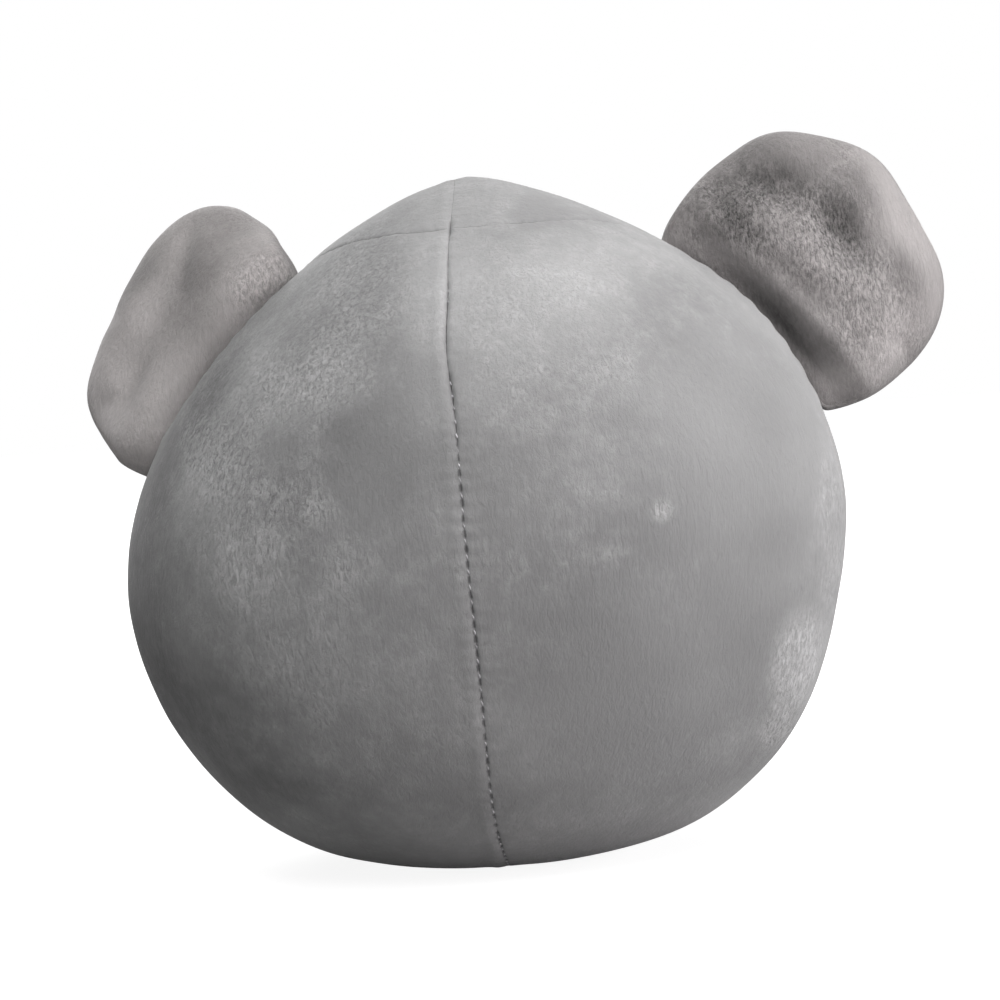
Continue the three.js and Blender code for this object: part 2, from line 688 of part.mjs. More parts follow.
// Past the side of the body the angle runs on, down the side seam and under the seat.
function addSideThreads() {
  const endSpace = THREAD_END_SPACE / (BODY_WIDTH / 2);
  const earSpace = THREAD_EAR_SPACE / (BODY_WIDTH / 2);
  const earTop = EAR_ROOT_TOP * DEGREE - earSpace;
  const crownRows = [...sideRows(LEFT), ...sideRows(RIGHT).slice(1)];
  const overCrown = (across) => [across, crownSeam(across)];
  addThread('crown_seam_thread', stations(-earTop, earTop, crownRows).map(overCrown));
  for (const [name, side] of [['left_side_seam_thread', LEFT], ['right_side_seam_thread', RIGHT]]) {
    const earBottom = EAR_ROOT_BOTTOM * DEGREE + earSpace;
    const seat = Math.PI - side * middleSeam - endSpace;
    const rows = sideRows(side).map((across) => side * across);
    const underRows = rows.map((across) => Math.PI - across);
    const route = stations(earBottom, seat, [...rows, ...underRows.slice(0, -1)]);
    addThread(name, route.map((turn) => [side * turn, 0]));
  }
}

// The front panels and the filling leave a round socket for the trunk's root.
const socketRadius = TRUNK_BALL_DIAMETER / 2 + SOCKET_CLEARANCE;
const socket = new THREE.SphereGeometry(socketRadius, SOCKET_SIDES, SOCKET_SIDES);
socket.translate(trunkPivot.x, trunkPivot.y, trunkPivot.z);

const underSeat = new THREE.BoxGeometry(2 * BODY_WIDTH, 2 * BODY_DEPTH, SEAT_DROP);
underSeat.translate(0, 0, -SEAT_DROP / 2);

const frontLeft = panelForm(LEFT, FRONT);
const frontRight = panelForm(RIGHT, FRONT);
const leftRoom = addEye(LEFT, frontLeft);
const rightRoom = addEye(RIGHT, frontRight);
addPiece(elephant, 'back_panel_left', cut(panelForm(LEFT, BACK), underSeat), plush);
addPiece(elephant, 'back_panel_right', cut(panelForm(RIGHT, BACK), underSeat), plush);
addPiece(elephant, 'front_panel_left', cut(frontLeft, underSeat, socket, leftRoom.inPanel), plush);
addPiece(elephant, 'front_panel_right', cut(frontRight, underSeat, socket, rightRoom.inPanel), plush);
const fillingRooms = [socket, leftRoom.inFilling, rightRoom.inFilling];
addPiece(elephant, 'body_filling', cut(fillingForm(), ...fillingRooms), fibre);
elephant.add(buildEar(LEFT, LEFT_EAR_SWEEP));
elephant.add(buildEar(RIGHT, RIGHT_EAR_SWEEP));
elephant.add(buildTrunk());
addMiddleThreads();
addSideThreads();

export default elephant;
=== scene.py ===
# %% [markdown]
# # A stuffed elephant in grey plush
# The toy is one ball-shaped form, sewn from four panels of short-pile plush over a fibre filling.
# Two padded ears are caught in the seam over the crown, and a bent trunk sits on the face.
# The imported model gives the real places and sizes. This lesson makes the cloth that goes around it.
# The sizes of the toy are in millimetres, and MM turns them into Blender's metres.

# %% Open the frame
import json
import math

import bmesh
import bpy
import numpy as np
from mathutils import Matrix, Vector


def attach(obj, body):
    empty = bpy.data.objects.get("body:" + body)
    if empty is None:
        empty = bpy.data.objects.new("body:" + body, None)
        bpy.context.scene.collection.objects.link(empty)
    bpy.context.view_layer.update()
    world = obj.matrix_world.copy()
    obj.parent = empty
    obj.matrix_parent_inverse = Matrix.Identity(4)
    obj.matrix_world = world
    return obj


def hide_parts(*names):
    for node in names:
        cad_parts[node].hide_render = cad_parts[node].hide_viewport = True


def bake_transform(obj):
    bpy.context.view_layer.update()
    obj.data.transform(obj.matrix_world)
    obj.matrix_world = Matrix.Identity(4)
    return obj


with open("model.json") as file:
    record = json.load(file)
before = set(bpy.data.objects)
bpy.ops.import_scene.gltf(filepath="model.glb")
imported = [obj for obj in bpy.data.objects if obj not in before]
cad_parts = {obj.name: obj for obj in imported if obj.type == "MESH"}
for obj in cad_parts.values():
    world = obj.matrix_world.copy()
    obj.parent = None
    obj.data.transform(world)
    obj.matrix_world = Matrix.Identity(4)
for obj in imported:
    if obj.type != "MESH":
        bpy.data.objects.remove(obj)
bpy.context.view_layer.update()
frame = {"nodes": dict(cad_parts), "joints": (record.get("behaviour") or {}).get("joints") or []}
nodes = frame["nodes"]
joints = {joint["name"]: joint for joint in frame["joints"]}
scene = bpy.context.scene
MM = 0.001
print(len(nodes), "nodes in the frame, and the joints", ", ".join(joints))

# %% [markdown]
# ## The camera
# The toy is seen from behind, a little from above, and it leans a few degrees in the picture.
# The lean could be put into the toy, but then it would no longer stand on its seat, so the camera
# rolls instead. The focal length follows from the distance and from the scale of the picture.

# %% Camera
PICTURE_SIDE = 1000  # pixels
VIEW_AZIMUTH = math.radians(183)
VIEW_ELEVATION = math.radians(4)
VIEW_ROLL = math.radians(3.8)
VIEW_DISTANCE = 0.70  # metres
VIEW_TARGET = Vector((0, 0, 0.085))
TARGET_PIXEL = (489.6, 518.9)
PIXELS_PER_METRE = 3929  # at the target

level = math.cos(VIEW_ELEVATION)
backward = Vector((
    math.sin(VIEW_AZIMUTH) * level,
    -math.cos(VIEW_AZIMUTH) * level,
    math.sin(VIEW_ELEVATION),
))
sideways = Vector((0, 0, 1)).cross(backward).normalized()
upward = backward.cross(sideways)
rolled_side = sideways * math.cos(VIEW_ROLL) - upward * math.sin(VIEW_ROLL)
rolled_up = sideways * math.sin(VIEW_ROLL) + upward * math.cos(VIEW_ROLL)

camera = bpy.data.objects.new("camera", bpy.data.cameras.new("camera"))
camera.matrix_world = Matrix((rolled_side, rolled_up, backward)).transposed().to_4x4()
camera.location = VIEW_TARGET + VIEW_DISTANCE * backward
camera.data.lens = camera.data.sensor_width * PIXELS_PER_METRE * VIEW_DISTANCE / PICTURE_SIDE
camera.data.shift_x = 0.5 - TARGET_PIXEL[0] / PICTURE_SIDE
camera.data.shift_y = TARGET_PIXEL[1] / PICTURE_SIDE - 0.5
scene.collection.objects.link(camera)
scene.camera = camera
scene.view_settings.view_transform = "Standard"
print(f"lens {camera.data.lens:.1f} mm")

# %% [markdown]
# ## Helpers
# A few small functions do the work that every step needs. One turns a written sRGB colour into the
# linear values that shaders use. One adds a shader node with its settings and links, and one starts a
# material with an empty node tree. A Mix node has sockets for each kind of data, so its numbers and its
# colours are named here once.

# %% Colours and nodes
FACTOR, NUMBER_A, NUMBER_B, COLOUR_A, COLOUR_B = 0, 2, 3, 6, 7
MIXED_NUMBER, MIXED_COLOUR = 0, 2


def hex_colour(text):
    """An sRGB colour such as 9e9c9d as linear red, green, blue and alpha."""
    shares = [int(text[i:i + 2], 16) / 255 for i in (0, 2, 4)]
    linear = [s / 12.92 if s <= 0.04045 else ((s + 0.055) / 1.055) ** 2.4 for s in shares]
    return (*linear, 1)


def add_node(tree, kind, inputs=None, **settings):
    """A shader node with its settings. An input is set to a value or linked to another's output."""
    node = tree.nodes.new(kind)
    for name, value in settings.items():
        setattr(node, name, value)
    for name, value in (inputs or {}).items():
        if isinstance(value, bpy.types.NodeSocket):
            tree.links.new(value, node.inputs[name])
        else:
            node.inputs[name].default_value = value
    return node


def start_material(name):
    """A material with an empty node tree, and the Object coordinates that its patterns read."""
    material = bpy.data.materials.new(name)
    material.use_nodes = True
    tree = material.node_tree
    tree.nodes.clear()
    place = add_node(tree, "ShaderNodeTexCoord").outputs["Object"]
    return material, tree, place


print(f"the grey 979797 is {hex_colour('979797')[0]:.3f} in linear values")

# %% [markdown]
# Blender's operators make the meshes, and numpy moves thousands of their points at once. A piece is made
# from a bmesh, with its points moved by a function of their own places. Soft random bumps are sums of a
# few slow waves. Each sum has its own seed, so it is the same in every run.

# %% Meshes and bumps
WAVE_COUNT = 14
WAVE_LENGTHS = (1.2, 2.6)  # times the size of the bumps


def read_points(mesh):
    points = np.empty(len(mesh.vertices) * 3)
    mesh.vertices.foreach_get("co", points)
    return points.reshape(-1, 3)


def write_points(mesh, points):
    mesh.vertices.foreach_set("co", np.ascontiguousarray(points, np.float32).ravel())
    mesh.update()


def make_piece(name, bm, shape=None):
    """An object of the mesh. The shape function gets its points and gives them back in millimetres."""
    mesh = bpy.data.meshes.new(name)
    bm.to_mesh(mesh)
    bm.free()
    if shape:
        write_points(mesh, shape(read_points(mesh)) * MM)
    mesh.shade_smooth()
    piece = bpy.data.objects.new(name, mesh)
    scene.collection.objects.link(piece)
    return piece


def add_wall(piece, thickness):
    """Gives cloth its thickness, inwards from the side that shows."""
    wall = piece.modifiers.new("thickness", "SOLIDIFY")
    wall.thickness = thickness * MM
    wall.offset = -1


def smooth(share):
    """From zero to one, with a soft start and end."""
    held = np.clip(share, 0, 1)
    return held * held * (3 - 2 * held)


def waves(points, size, seed):
    """Soft random bumps, mostly between -1 and 1, about this many millimetres across."""
    rng = np.random.default_rng(seed)
    total = np.zeros(len(points))
    for _ in range(WAVE_COUNT):
        toward = rng.normal(size=3)
        toward *= 2 * math.pi / (size * rng.uniform(*WAVE_LENGTHS)) / np.linalg.norm(toward)
        total += np.sin(points @ toward + rng.uniform(0, 2 * math.pi))
    return total / math.sqrt(WAVE_COUNT / 2) / 2


def bumps(points, layers):
    """Bumps of several sizes on top of each other. A layer is a height, a size and a seed."""
    return sum(height * waves(points, size, seed) for height, size, seed in layers)


print("bumps of", WAVE_COUNT, "waves")

# %% [markdown]
# ## The stage
# A white floor under a white background shows the toy as a cut-out, with only its shadow. The floor
# is grey for all other rays, so that it throws little light up at the toy's dark underside.

# %% Floor
FLOOR_SIZE = 6.0  # metres
FLOOR_DROP = 0.2
SHADOW_REACH = (0.15, 0.45)  # metres from the toy over which the floor turns white
FLOOR_GLOW = (0.9, 1.0)  # inside that reach and beyond it


def background_rays(tree):
    """One for rays that should see the white background, and zero for light on the toy."""
    path = add_node(tree, "ShaderNodeLightPath").outputs
    mirrored = add_node(tree, "ShaderNodeMath", {
        0: path["Is Glossy Ray"],
        1: path["Is Transmission Ray"],
    }, operation="MAXIMUM").outputs[0]
    return add_node(tree, "ShaderNodeMath", {
        0: path["Is Camera Ray"],
        1: mirrored,
    }, operation="MAXIMUM").outputs[0]


bm = bmesh.new()
bmesh.ops.create_grid(bm, x_segments=1, y_segments=1, size=FLOOR_SIZE / 2 / MM)
floor = make_piece("floor", bm, lambda points: points - (0, 0, FLOOR_DROP))
paper, tree, place = start_material("matt_white_paper")
matt = add_node(tree, "ShaderNodeBsdfDiffuse", {"Color": hex_colour("9c9c9c")}).outputs[0]
away = add_node(tree, "ShaderNodeVectorMath", {0: place}, operation="LENGTH").outputs["Value"]
strength = add_node(tree, "ShaderNodeMapRange", {
    "Value": away,
    "From Min": SHADOW_REACH[0],
    "From Max": SHADOW_REACH[1],
    "To Min": FLOOR_GLOW[0],
    "To Max": FLOOR_GLOW[1],
}, interpolation_type="SMOOTHSTEP").outputs["Result"]
glow = add_node(tree, "ShaderNodeEmission", {"Color": hex_colour("ffffff"), "Strength": strength}).outputs[0]
bright = add_node(tree, "ShaderNodeAddShader", {0: matt, 1: glow}).outputs[0]
either = add_node(tree, "ShaderNodeMixShader", {0: background_rays(tree), 1: matt, 2: bright}).outputs[0]
add_node(tree, "ShaderNodeOutputMaterial", {"Surface": either})
floor.data.materials.append(paper)
print("a floor of", FLOOR_SIZE, "metres")

# %% [markdown]
# Four soft lamps light the back of the toy: one behind it, one above, and two low on the right of the
# picture, of which the one nearer the camera is a trace pink. A fifth one lights the face. The world
# adds only a little, so that the underside stays dark.

# %% World and lamps
AMBIENT = 0.06
LAMP_SIZE = 0.7  # metres
FACE_LAMP_SIZE = 1.0

world = bpy.data.worlds.new("studio")
world.use_nodes = True
tree = world.node_tree
tree.nodes.clear()
dim = add_node(tree, "ShaderNodeBackground", {"Color": hex_colour("ffffff"), "Strength": AMBIENT}).outputs[0]
white = add_node(tree, "ShaderNodeBackground", {"Color": hex_colour("ffffff"), "Strength": 1}).outputs[0]
either = add_node(tree, "ShaderNodeMixShader", {0: background_rays(tree), 1: dim, 2: white}).outputs[0]
add_node(tree, "ShaderNodeOutputWorld", {"Surface": either})
scene.world = world


def add_lamp(name, place, size, watts, colour="ffffff"):
    """A round lamp that points at the toy."""
    lamp = bpy.data.lights.new(name, "AREA")
    lamp.shape = "DISK"
    lamp.size = size
    lamp.energy = watts
    lamp.color = hex_colour(colour)[:3]
    holder = bpy.data.objects.new(name, lamp)
    holder.location = place
    holder.rotation_euler = (VIEW_TARGET - holder.location).to_track_quat("-Z", "Y").to_euler()
    scene.collection.objects.link(holder)


add_lamp("back_lamp", (-0.21, 1.18, 1.29), LAMP_SIZE, 9.2)
add_lamp("top_lamp", (-0.08, 0.43, 1.73), LAMP_SIZE, 15)
add_lamp("low_lamp", (-1.27, 1.07, 0.44), LAMP_SIZE, 7.6, "fff7fb")
add_lamp("side_lamp", (-1.66, 0, 0.44), LAMP_SIZE, 14.1)
add_lamp("face_lamp", (0.4, -1.4, 0.9), FACE_LAMP_SIZE, 21)
print("a dim world and", len(bpy.data.lights), "lamps")

# %% [markdown]
# ## The form of the body
# The stuffed ball is a round form with a soft point at the crown, a flattened seat, and a filling
# that has settled to the right. It is written as a formula: the distance from the middle of the ball
# to its surface, for any direction. The panels, the seams, the roots of the ears and the place of
# each stitch all come from the same formula, so that they meet.

# %% Body form
BODY_WIDTH = 181.0
BODY_DEPTH = 156.0
CROWN_RISE = 89.5
SEAT_DROP = 82.8
CROWN_EXPONENT = 1.36
SEAT_EXPONENT = 3.0
SLUMP = 2.9
SLUMP_PEAK = 2 / math.sqrt(27)  # the largest value of the slump's formula
SEAT_FLAT = 0.5  # pressed flat where the toy rests
FORM_HALVINGS = 40
SIDES = {"left": 1, "right": -1}
FACES = {"back": 1, "front": -1}
body_centre = np.array([0, 0, SEAT_DROP - SEAT_FLAT])


def heading(across, along):
    """Unit directions: across turns to the toy's left, along turns from the crown down the back."""
    reach = np.cos(across)
    return np.stack([np.sin(across), reach * np.sin(along), reach * np.cos(along)], axis=-1)


def find_edge(inside, outside, within, halvings):
    """The edge of a shape, found by halving the stretch between a point in it and one beyond it."""
    for _ in range(halvings):
        middle = (inside + outside) / 2
        still_in = within(middle)
        inside = np.where(still_in, middle, inside)
        outside = np.where(still_in, outside, middle)
    return inside


def form_radius(toward):
    """Distance from the middle of the ball to its surface."""
    level = np.hypot(toward[..., 0] / (BODY_WIDTH / 2), toward[..., 1] / (BODY_DEPTH / 2))
    above = toward[..., 2] > 0
    upright = np.abs(toward[..., 2]) / np.where(above, CROWN_RISE, SEAT_DROP)
    exponent = np.where(above, CROWN_EXPONENT, SEAT_EXPONENT)

    def within(radius):
        return (level * radius) ** exponent + (upright * radius) ** 2 < 1

    beyond = np.full(level.shape, 2.0 * BODY_WIDTH)
    radius = find_edge(np.zeros(level.shape), beyond, within, FORM_HALVINGS)
    shoulder = toward[..., 0] * toward[..., 2] * np.hypot(toward[..., 0], toward[..., 1])
    return radius - SLUMP * shoulder / SLUMP_PEAK


def form_point(toward):
    return body_centre + toward * form_radius(toward)[..., None]


def form_normal(toward):
    step = 0.01
    side = np.cross([0, 0, 1], toward)
    side /= np.linalg.norm(side, axis=-1, keepdims=True)
    rise = np.cross(toward, side)
    here = form_point(toward)
    normal = np.cross(form_point(toward + step * side) - here, form_point(toward + step * rise) - here)
    return normal / np.linalg.norm(normal, axis=-1, keepdims=True)


print("crown at", form_point(heading(np.zeros(1), np.zeros(1)))[0].round(1))

# %% [markdown]
# ## Seams
# Four seams close the ball. The middle seam runs right round it, the crown seam runs over the top
# from ear to ear, and the side seams run on below the ears and under the seat. A seam is a line of
# directions. Measured along its length it also gives the places of the stitches.

# %% Seam lines
MIDDLE_SEAM_ASIDE = 3  # to the left of the middle
MIDDLE_SEAM = math.asin(MIDDLE_SEAM_ASIDE / (BODY_WIDTH / 2))
CROWN_TILT = math.radians(22)
EAR_TOP = math.radians(34)
EAR_BOTTOM = math.radians(76)
STITCH_PITCH = 3.5
STITCHES_SHOW = (math.radians(62), math.radians(76))  # down the back, where they come into sight
SEAM_WANDER = (  # degrees down the back, reach in degrees, and mm to the left
    (32, 14, 1.2),
    (52, 11, 1.9),
    (118, 34, -2.2),
    (158, 18, -3.0),
)
SEAM_STEADY = math.radians(8)  # the seam runs true again where it crosses the seat
SEAM_POINTS = 721  # two for each degree of the middle seam, and one over


def middle_seam(along):
    """How far the seam lies to the left, as an angle: the cloth was fed by hand, so it wanders a little."""
    turn = np.degrees(along)
    aside = sum(left * np.exp(-((turn - place) / reach) ** 2) for place, reach, left in SEAM_WANDER)
    return MIDDLE_SEAM + aside * smooth((math.pi - np.abs(along)) / SEAM_STEADY) / (BODY_WIDTH / 2)


def stitched(along):
    """One down the back, where the seam is pulled flat and its stitches show, and zero over the crown."""
    return smooth((along - STITCHES_SHOW[0]) / (STITCHES_SHOW[1] - STITCHES_SHOW[0]))


def crown_seam(across):
    return CROWN_TILT * np.maximum(0, 1 - (np.abs(across) / EAR_TOP) ** 2)


def seam_line(across, along):
    """A seam as its two angles and the millimetres along it."""
    points = form_point(heading(across, along))
    steps = np.linalg.norm(np.diff(points, axis=0), axis=1)
    return across, along, np.concatenate([[0], np.cumsum(steps)])


round_middle = np.linspace(-math.pi, math.pi, SEAM_POINTS)
over_crown = np.linspace(-math.pi / 2, math.pi / 2, SEAM_POINTS)
middle_line = seam_line(middle_seam(round_middle), round_middle)
crown_line = seam_line(over_crown, crown_seam(over_crown))
seat_line = seam_line(over_crown, np.full(SEAM_POINTS, math.pi))


def middle_length(along):
    return np.interp(along, round_middle, middle_line[2])


def crown_length(across):
    return np.interp(across, over_crown, crown_line[2])


def seat_length(across):
    return np.interp(across, over_crown, seat_line[2])


print(f"middle seam {middle_length(math.pi):.0f} mm, crown seam {crown_length(math.pi / 2):.0f} mm")

# %% [markdown]
# ## The four panels
# Each panel covers a quarter of the ball. A cube is cut along the two seam planes and divided into
# small squares, so that rows of squares run along every seam. The quarter is then blown up onto the
# form. A ball made of rings would have been simpler, but its poles would pinch the cloth where it shows.
# Near a seam the rows are drawn closer together, so that there are enough of them to roll in.

# %% Quarters of a ball
PANEL_CUTS = 79
SEAM_ROWS = 0.75  # share by which rows are drawn together at a seam
SEAM_ROWS_REACH = 0.10  # radians


def quarter_ball(side, face):
    """A quarter of a cube, cut along the seam planes and divided evenly."""
    bm = bmesh.new()
    bmesh.ops.create_cube(bm, size=2)
    bmesh.ops.subdivide_edges(bm, edges=bm.edges[:], cuts=1, use_grid_fill=True)
    for outward in ((side, 0, 0), (0, face, 0)):
        everything = bm.verts[:] + bm.edges[:] + bm.faces[:]
        bmesh.ops.bisect_plane(bm, geom=everything, dist=1e-5, plane_no=outward, clear_inner=True)
    bmesh.ops.subdivide_edges(bm, edges=bm.edges[:], cuts=PANEL_CUTS, use_grid_fill=True)
    return bm


def cube_to_ball(cube_points):
    """The direction of each point of a cube, spread so that its squares stay nearly even."""
    ball = np.tan(cube_points * math.pi / 4)
    return ball / np.linalg.norm(ball, axis=1, keepdims=True)


def draw_together(angle):
    return angle * (1 - SEAM_ROWS * np.exp(-(angle / SEAM_ROWS_REACH) ** 2))


def sewn_angles(cube_points, side, face):
    """The two angles of each point of a quarter, with the quarter's edges on the seams."""
    ball = cube_to_ball(cube_points)
    turn = side * draw_together(np.arcsin(np.abs(ball[:, 0])))
    down = np.arctan2(np.abs(ball[:, 1]), ball[:, 2])
    down = np.where(down < math.pi / 2, draw_together(down), math.pi - draw_together(math.pi - down))
    near_crown = np.where(down < math.pi / 2, np.cos(down) ** 2, 0)
    along = face * down + crown_seam(turn + MIDDLE_SEAM) * near_crown
    across = turn + middle_seam(along) * np.cos(turn) ** 2
    return across, face * down + crown_seam(across) * near_crown


first_row = BODY_WIDTH / 2 * draw_together(math.pi / 4 / (PANEL_CUTS + 1))
print(f"the row of squares next to a seam is {first_row:.2f} mm wide")

# %% [markdown]
# At a seam the cloth rolls in to the stitches and puckers a little at each one. The depth is uneven,
# because the pile closes over the seam here and there. The seams could be cut in as sharp grooves,
# but a soft roll on both sides is what makes the toy look stuffed.

# %% Seam grooves
SEAM_DEPTH = 1.3
SEAM_ROLL = 0.5
SEAM_ROLL_EXPONENT = 1.3
SEAM_TENSION = 0.25
SEAM_TENSION_REACH = 7.0
PUCKER = 0.16
PUCKER_REACH = 3.2
PUCKER_EXPONENT = 1.5
PUCKER_RHYTHMS = (9.1, 23.7)  # over which puckers grow and shrink
PUCKER_DRIFT = 0.8  # radians by which they leave their even pitch
PUCKER_UNEVEN = 0.3  # share of their depth that comes and goes
COVER_RHYTHMS = ((2.1, 1), (4.7, 3), (11.9, 5))  # of the pile that closes over a seam, and times the shift
SEAM_SHOWN = 0.45  # share of a seam's depth that shows
SEAM_COVER = 0.22  # share that the pile adds or takes
SEAM_HOLES = 0.35  # share that each needle hole adds
SEAM_LEAST = 0.15
MIDDLE_SHIFT, CROWN_SHIFT, SEAT_SHIFT = 1.0, 2.0, 3.0  # so that no two seams are alike


def pucker(lengths, shift):
    """Drawn in at the stitches and let out between them, a little unevenly."""
    slow, slower = PUCKER_RHYTHMS
    uneven = np.sin(lengths / slow + shift) * np.sin(lengths / slower + 2 * shift)
    turn = 2 * math.pi * lengths / STITCH_PITCH + PUCKER_DRIFT * uneven
    return np.cos(turn) * (1 - PUCKER_UNEVEN + PUCKER_UNEVEN * uneven)


def shown(lengths, shift):
    """The share of a seam's depth that shows. The pile closes over it, but hardly at a needle hole."""
    cover = sum(np.sin(lengths / rhythm + times * shift) for rhythm, times in COVER_RHYTHMS)
    holes = 0.5 + 0.5 * np.cos(2 * math.pi * (lengths / STITCH_PITCH + 0.5))
    return np.clip(SEAM_SHOWN + SEAM_COVER * cover + SEAM_HOLES * holes, SEAM_LEAST, 1)


def drawn_in(distance, lengths, shift, depth=SEAM_DEPTH, roll=SEAM_ROLL):
    """How far the cloth lies below the form at this distance from a seam."""
    groove = depth * shown(lengths, shift) * np.exp(-(distance / roll) ** SEAM_ROLL_EXPONENT)
    tension = SEAM_TENSION * np.exp(-(distance / SEAM_TENSION_REACH) ** 2)
    puckered = PUCKER * pucker(lengths, shift) * np.exp(-(distance / PUCKER_REACH) ** PUCKER_EXPONENT)
    return groove + tension + puckered


print(f"the seat seam is up to {drawn_in(0.0, seat_line[2], SEAT_SHIFT).max():.1f} mm deep")

# %% [markdown]
# The stuffing is firmer in some spots and slacker in others, which makes the outline a little uneven.
# Where an ear is sewn in, the seam opens round its root and draws the cloth beside it into wrinkles.

# %% Stuffing and panel points
STUFFING = (  # place, reach and height of the firmer and slacker spots
    (np.array((-74, 20, 30)), 24, 2.2),
    (np.array((-45, 25, 10)), 24, 1.6),
    (np.array((92, 5, 74)), 22, 2.2),
    (np.array((-90, 5, 108)), 22, -1.5),
    (np.array((66, 10, 16)), 24, -1.5),
)
STUFFING_BUMPS = ((0.35, 30, 4), (0.12, 12, 5))
CROWN_SEAM_SHARES = (0.3, 0.55)  # of a seam's depth, to the right and left of the middle seam
EAR_FADE = math.radians(8)
EAR_SEAM_DEPTH = 1.8  # the seam opens round the root of an ear
EAR_SEAM_ROLL = 1.8
EAR_WRINKLE = 0.22
EAR_WRINKLE_PITCH = 7.5
EAR_WRINKLE_REACH = 13.0
EAR_WRINKLE_RHYTHM = 9.0
EAR_WRINKLE_DRIFT = 1.5  # radians
BROW_SMOOTH = 1.1  # radians in front of the crown over which the seam lies nearly smooth
BROW_EASE = (0.1, 0.5)  # radians over which that stretch starts at the crown and ends in front
BROW_SHALLOWER = 0.95
SEAT_START = math.radians(160)
SEAT_EASE = 0.3  # radians
SEAT_SHARE = 0.25  # of a seam's depth, under the seat
STITCHED_SHALLOWER = 0.55
RIDGE_HEIGHT = 0.25  # the turned edges lie under the left side of the middle seam
RIDGE_PLACE = 2.4
RIDGE_REACH = 1.5
RIDGE_FADE = 6.0
SEAT_CLEARANCE = 0.02


def stuffing_lumps(points):
    """How far the stuffing pushes the cloth out at these points of the form."""
    lumps = bumps(points, STUFFING_BUMPS)
    for place, reach, height in STUFFING:
        lumps += height * np.exp(-np.sum((points - place) ** 2, axis=1) / reach ** 2)
    return lumps


def beside_ear(across):
    """One along the root of an ear, and zero elsewhere."""
    turn = np.abs(across)
    return smooth((turn - EAR_TOP) / EAR_FADE) * smooth((EAR_BOTTOM - turn) / EAR_FADE)


def middle_depth(along):
    """The middle seam is nearly smooth over the brow and shallow under the seat and down the back."""
    over_brow = smooth((CROWN_TILT - along) / BROW_EASE[0]) * smooth((along + BROW_SMOOTH) / BROW_EASE[1])
    off_seat = smooth((SEAT_START - np.abs(along)) / SEAT_EASE)
    depth = SEAM_DEPTH * (1 - BROW_SHALLOWER * over_brow)
    depth = depth * (SEAT_SHARE + (1 - SEAT_SHARE) * off_seat)
    return depth * (1 - STITCHED_SHALLOWER * stitched(along))


def panel_points(across, along):
    """The cloth: the form with its stuffing, drawn in at the seams."""
    toward = heading(across, along)
    radius = form_radius(toward)
    from_middle = radius * (across - middle_seam(along))
    from_crown = radius * np.cos(across) * np.abs(along - crown_seam(across))
    from_seat = radius * np.cos(across) * (math.pi - np.abs(along))
    at_ear = beside_ear(across)
    crown_depth = SEAM_DEPTH * np.where(across < MIDDLE_SEAM, *CROWN_SEAM_SHARES)
    crown_depth = crown_depth + (EAR_SEAM_DEPTH - crown_depth) * at_ear
    crown_roll = SEAM_ROLL + (EAR_SEAM_ROLL - SEAM_ROLL) * at_ear
    crown_along = crown_length(across)
    grooves = np.maximum.reduce([
        drawn_in(np.abs(from_middle), middle_length(along), MIDDLE_SHIFT, middle_depth(along)),
        drawn_in(from_crown, crown_along, CROWN_SHIFT, crown_depth, crown_roll),
        drawn_in(from_seat, seat_length(across), SEAT_SHIFT),
    ])
    ridge = RIDGE_HEIGHT * np.exp(-((from_middle - RIDGE_PLACE) / RIDGE_REACH) ** 2)
    ridge = ridge * smooth(from_crown / RIDGE_FADE) * smooth(from_seat / RIDGE_FADE)
    drift = EAR_WRINKLE_DRIFT * np.sin(crown_along / EAR_WRINKLE_RHYTHM)
    wrinkles = EAR_WRINKLE * np.cos(2 * math.pi * crown_along / EAR_WRINKLE_PITCH + drift)
    wrinkles = wrinkles * at_ear * np.exp(-(from_crown / EAR_WRINKLE_REACH) ** 2)
    points = body_centre + toward * radius[:, None]
    lift = ridge + stuffing_lumps(points) + wrinkles - grooves
    points = points + toward * lift[:, None]
    points[:, 2] = np.maximum(points[:, 2], SEAT_CLEARANCE)
    return points


print("the cloth at the crown is at", panel_points(np.zeros(1), np.zeros(1))[0].round(1))

# %% [markdown]
# The front panels also make room for the round root of the trunk. The cloth rolls in at the edge of
# a socket and lines it, so that the trunk can turn there and no hole shows beside it.

# %% Trunk socket
TRUNK_BALL = 17.0  # radius of the trunk's root
TRUNK_SEAT = 4.0  # from the middle of the root up to the face
SOCKET_CLEARANCE = 0.9
SOCKET_ROLL = 3.5
SOCKET_ROLL_DEPTH = 2.2
trunk_pivot = np.array(joints["trunk_bend"]["pos_m"]) / MM
trunk_toward = (trunk_pivot - body_centre) / np.linalg.norm(trunk_pivot - body_centre)
trunk_facing = form_normal(trunk_toward[None])[0]


def line_socket(points):
    """Presses the socket for the trunk's root into the cloth."""
    offset = points - trunk_pivot
    height = offset @ trunk_facing
    flat = offset - height[:, None] * trunk_facing
    reach = np.linalg.norm(flat, axis=1)
    radius = TRUNK_BALL + SOCKET_CLEARANCE
    mouth = math.sqrt(radius ** 2 - TRUNK_SEAT ** 2)
    near = (height > -radius) & (points[:, 1] < body_centre[1])
    roll = SOCKET_ROLL_DEPTH * np.clip((mouth + SOCKET_ROLL - reach) / SOCKET_ROLL, 0, 1) ** 2
    lined = -np.sqrt(np.maximum(radius ** 2 - reach ** 2, 0))
    settled = np.where(reach < mouth, lined, height - roll)
    return np.where(near[:, None], points + (settled - height)[:, None] * trunk_facing, points)


print("trunk pivot", trunk_pivot.round(1), "facing", trunk_facing.round(3))

# %% [markdown]
# Every panel is one piece of cloth. Its thickness is added on the inside, so that the side that shows
# stays on the form. The four are kept under the names of the solids that they take the place of.

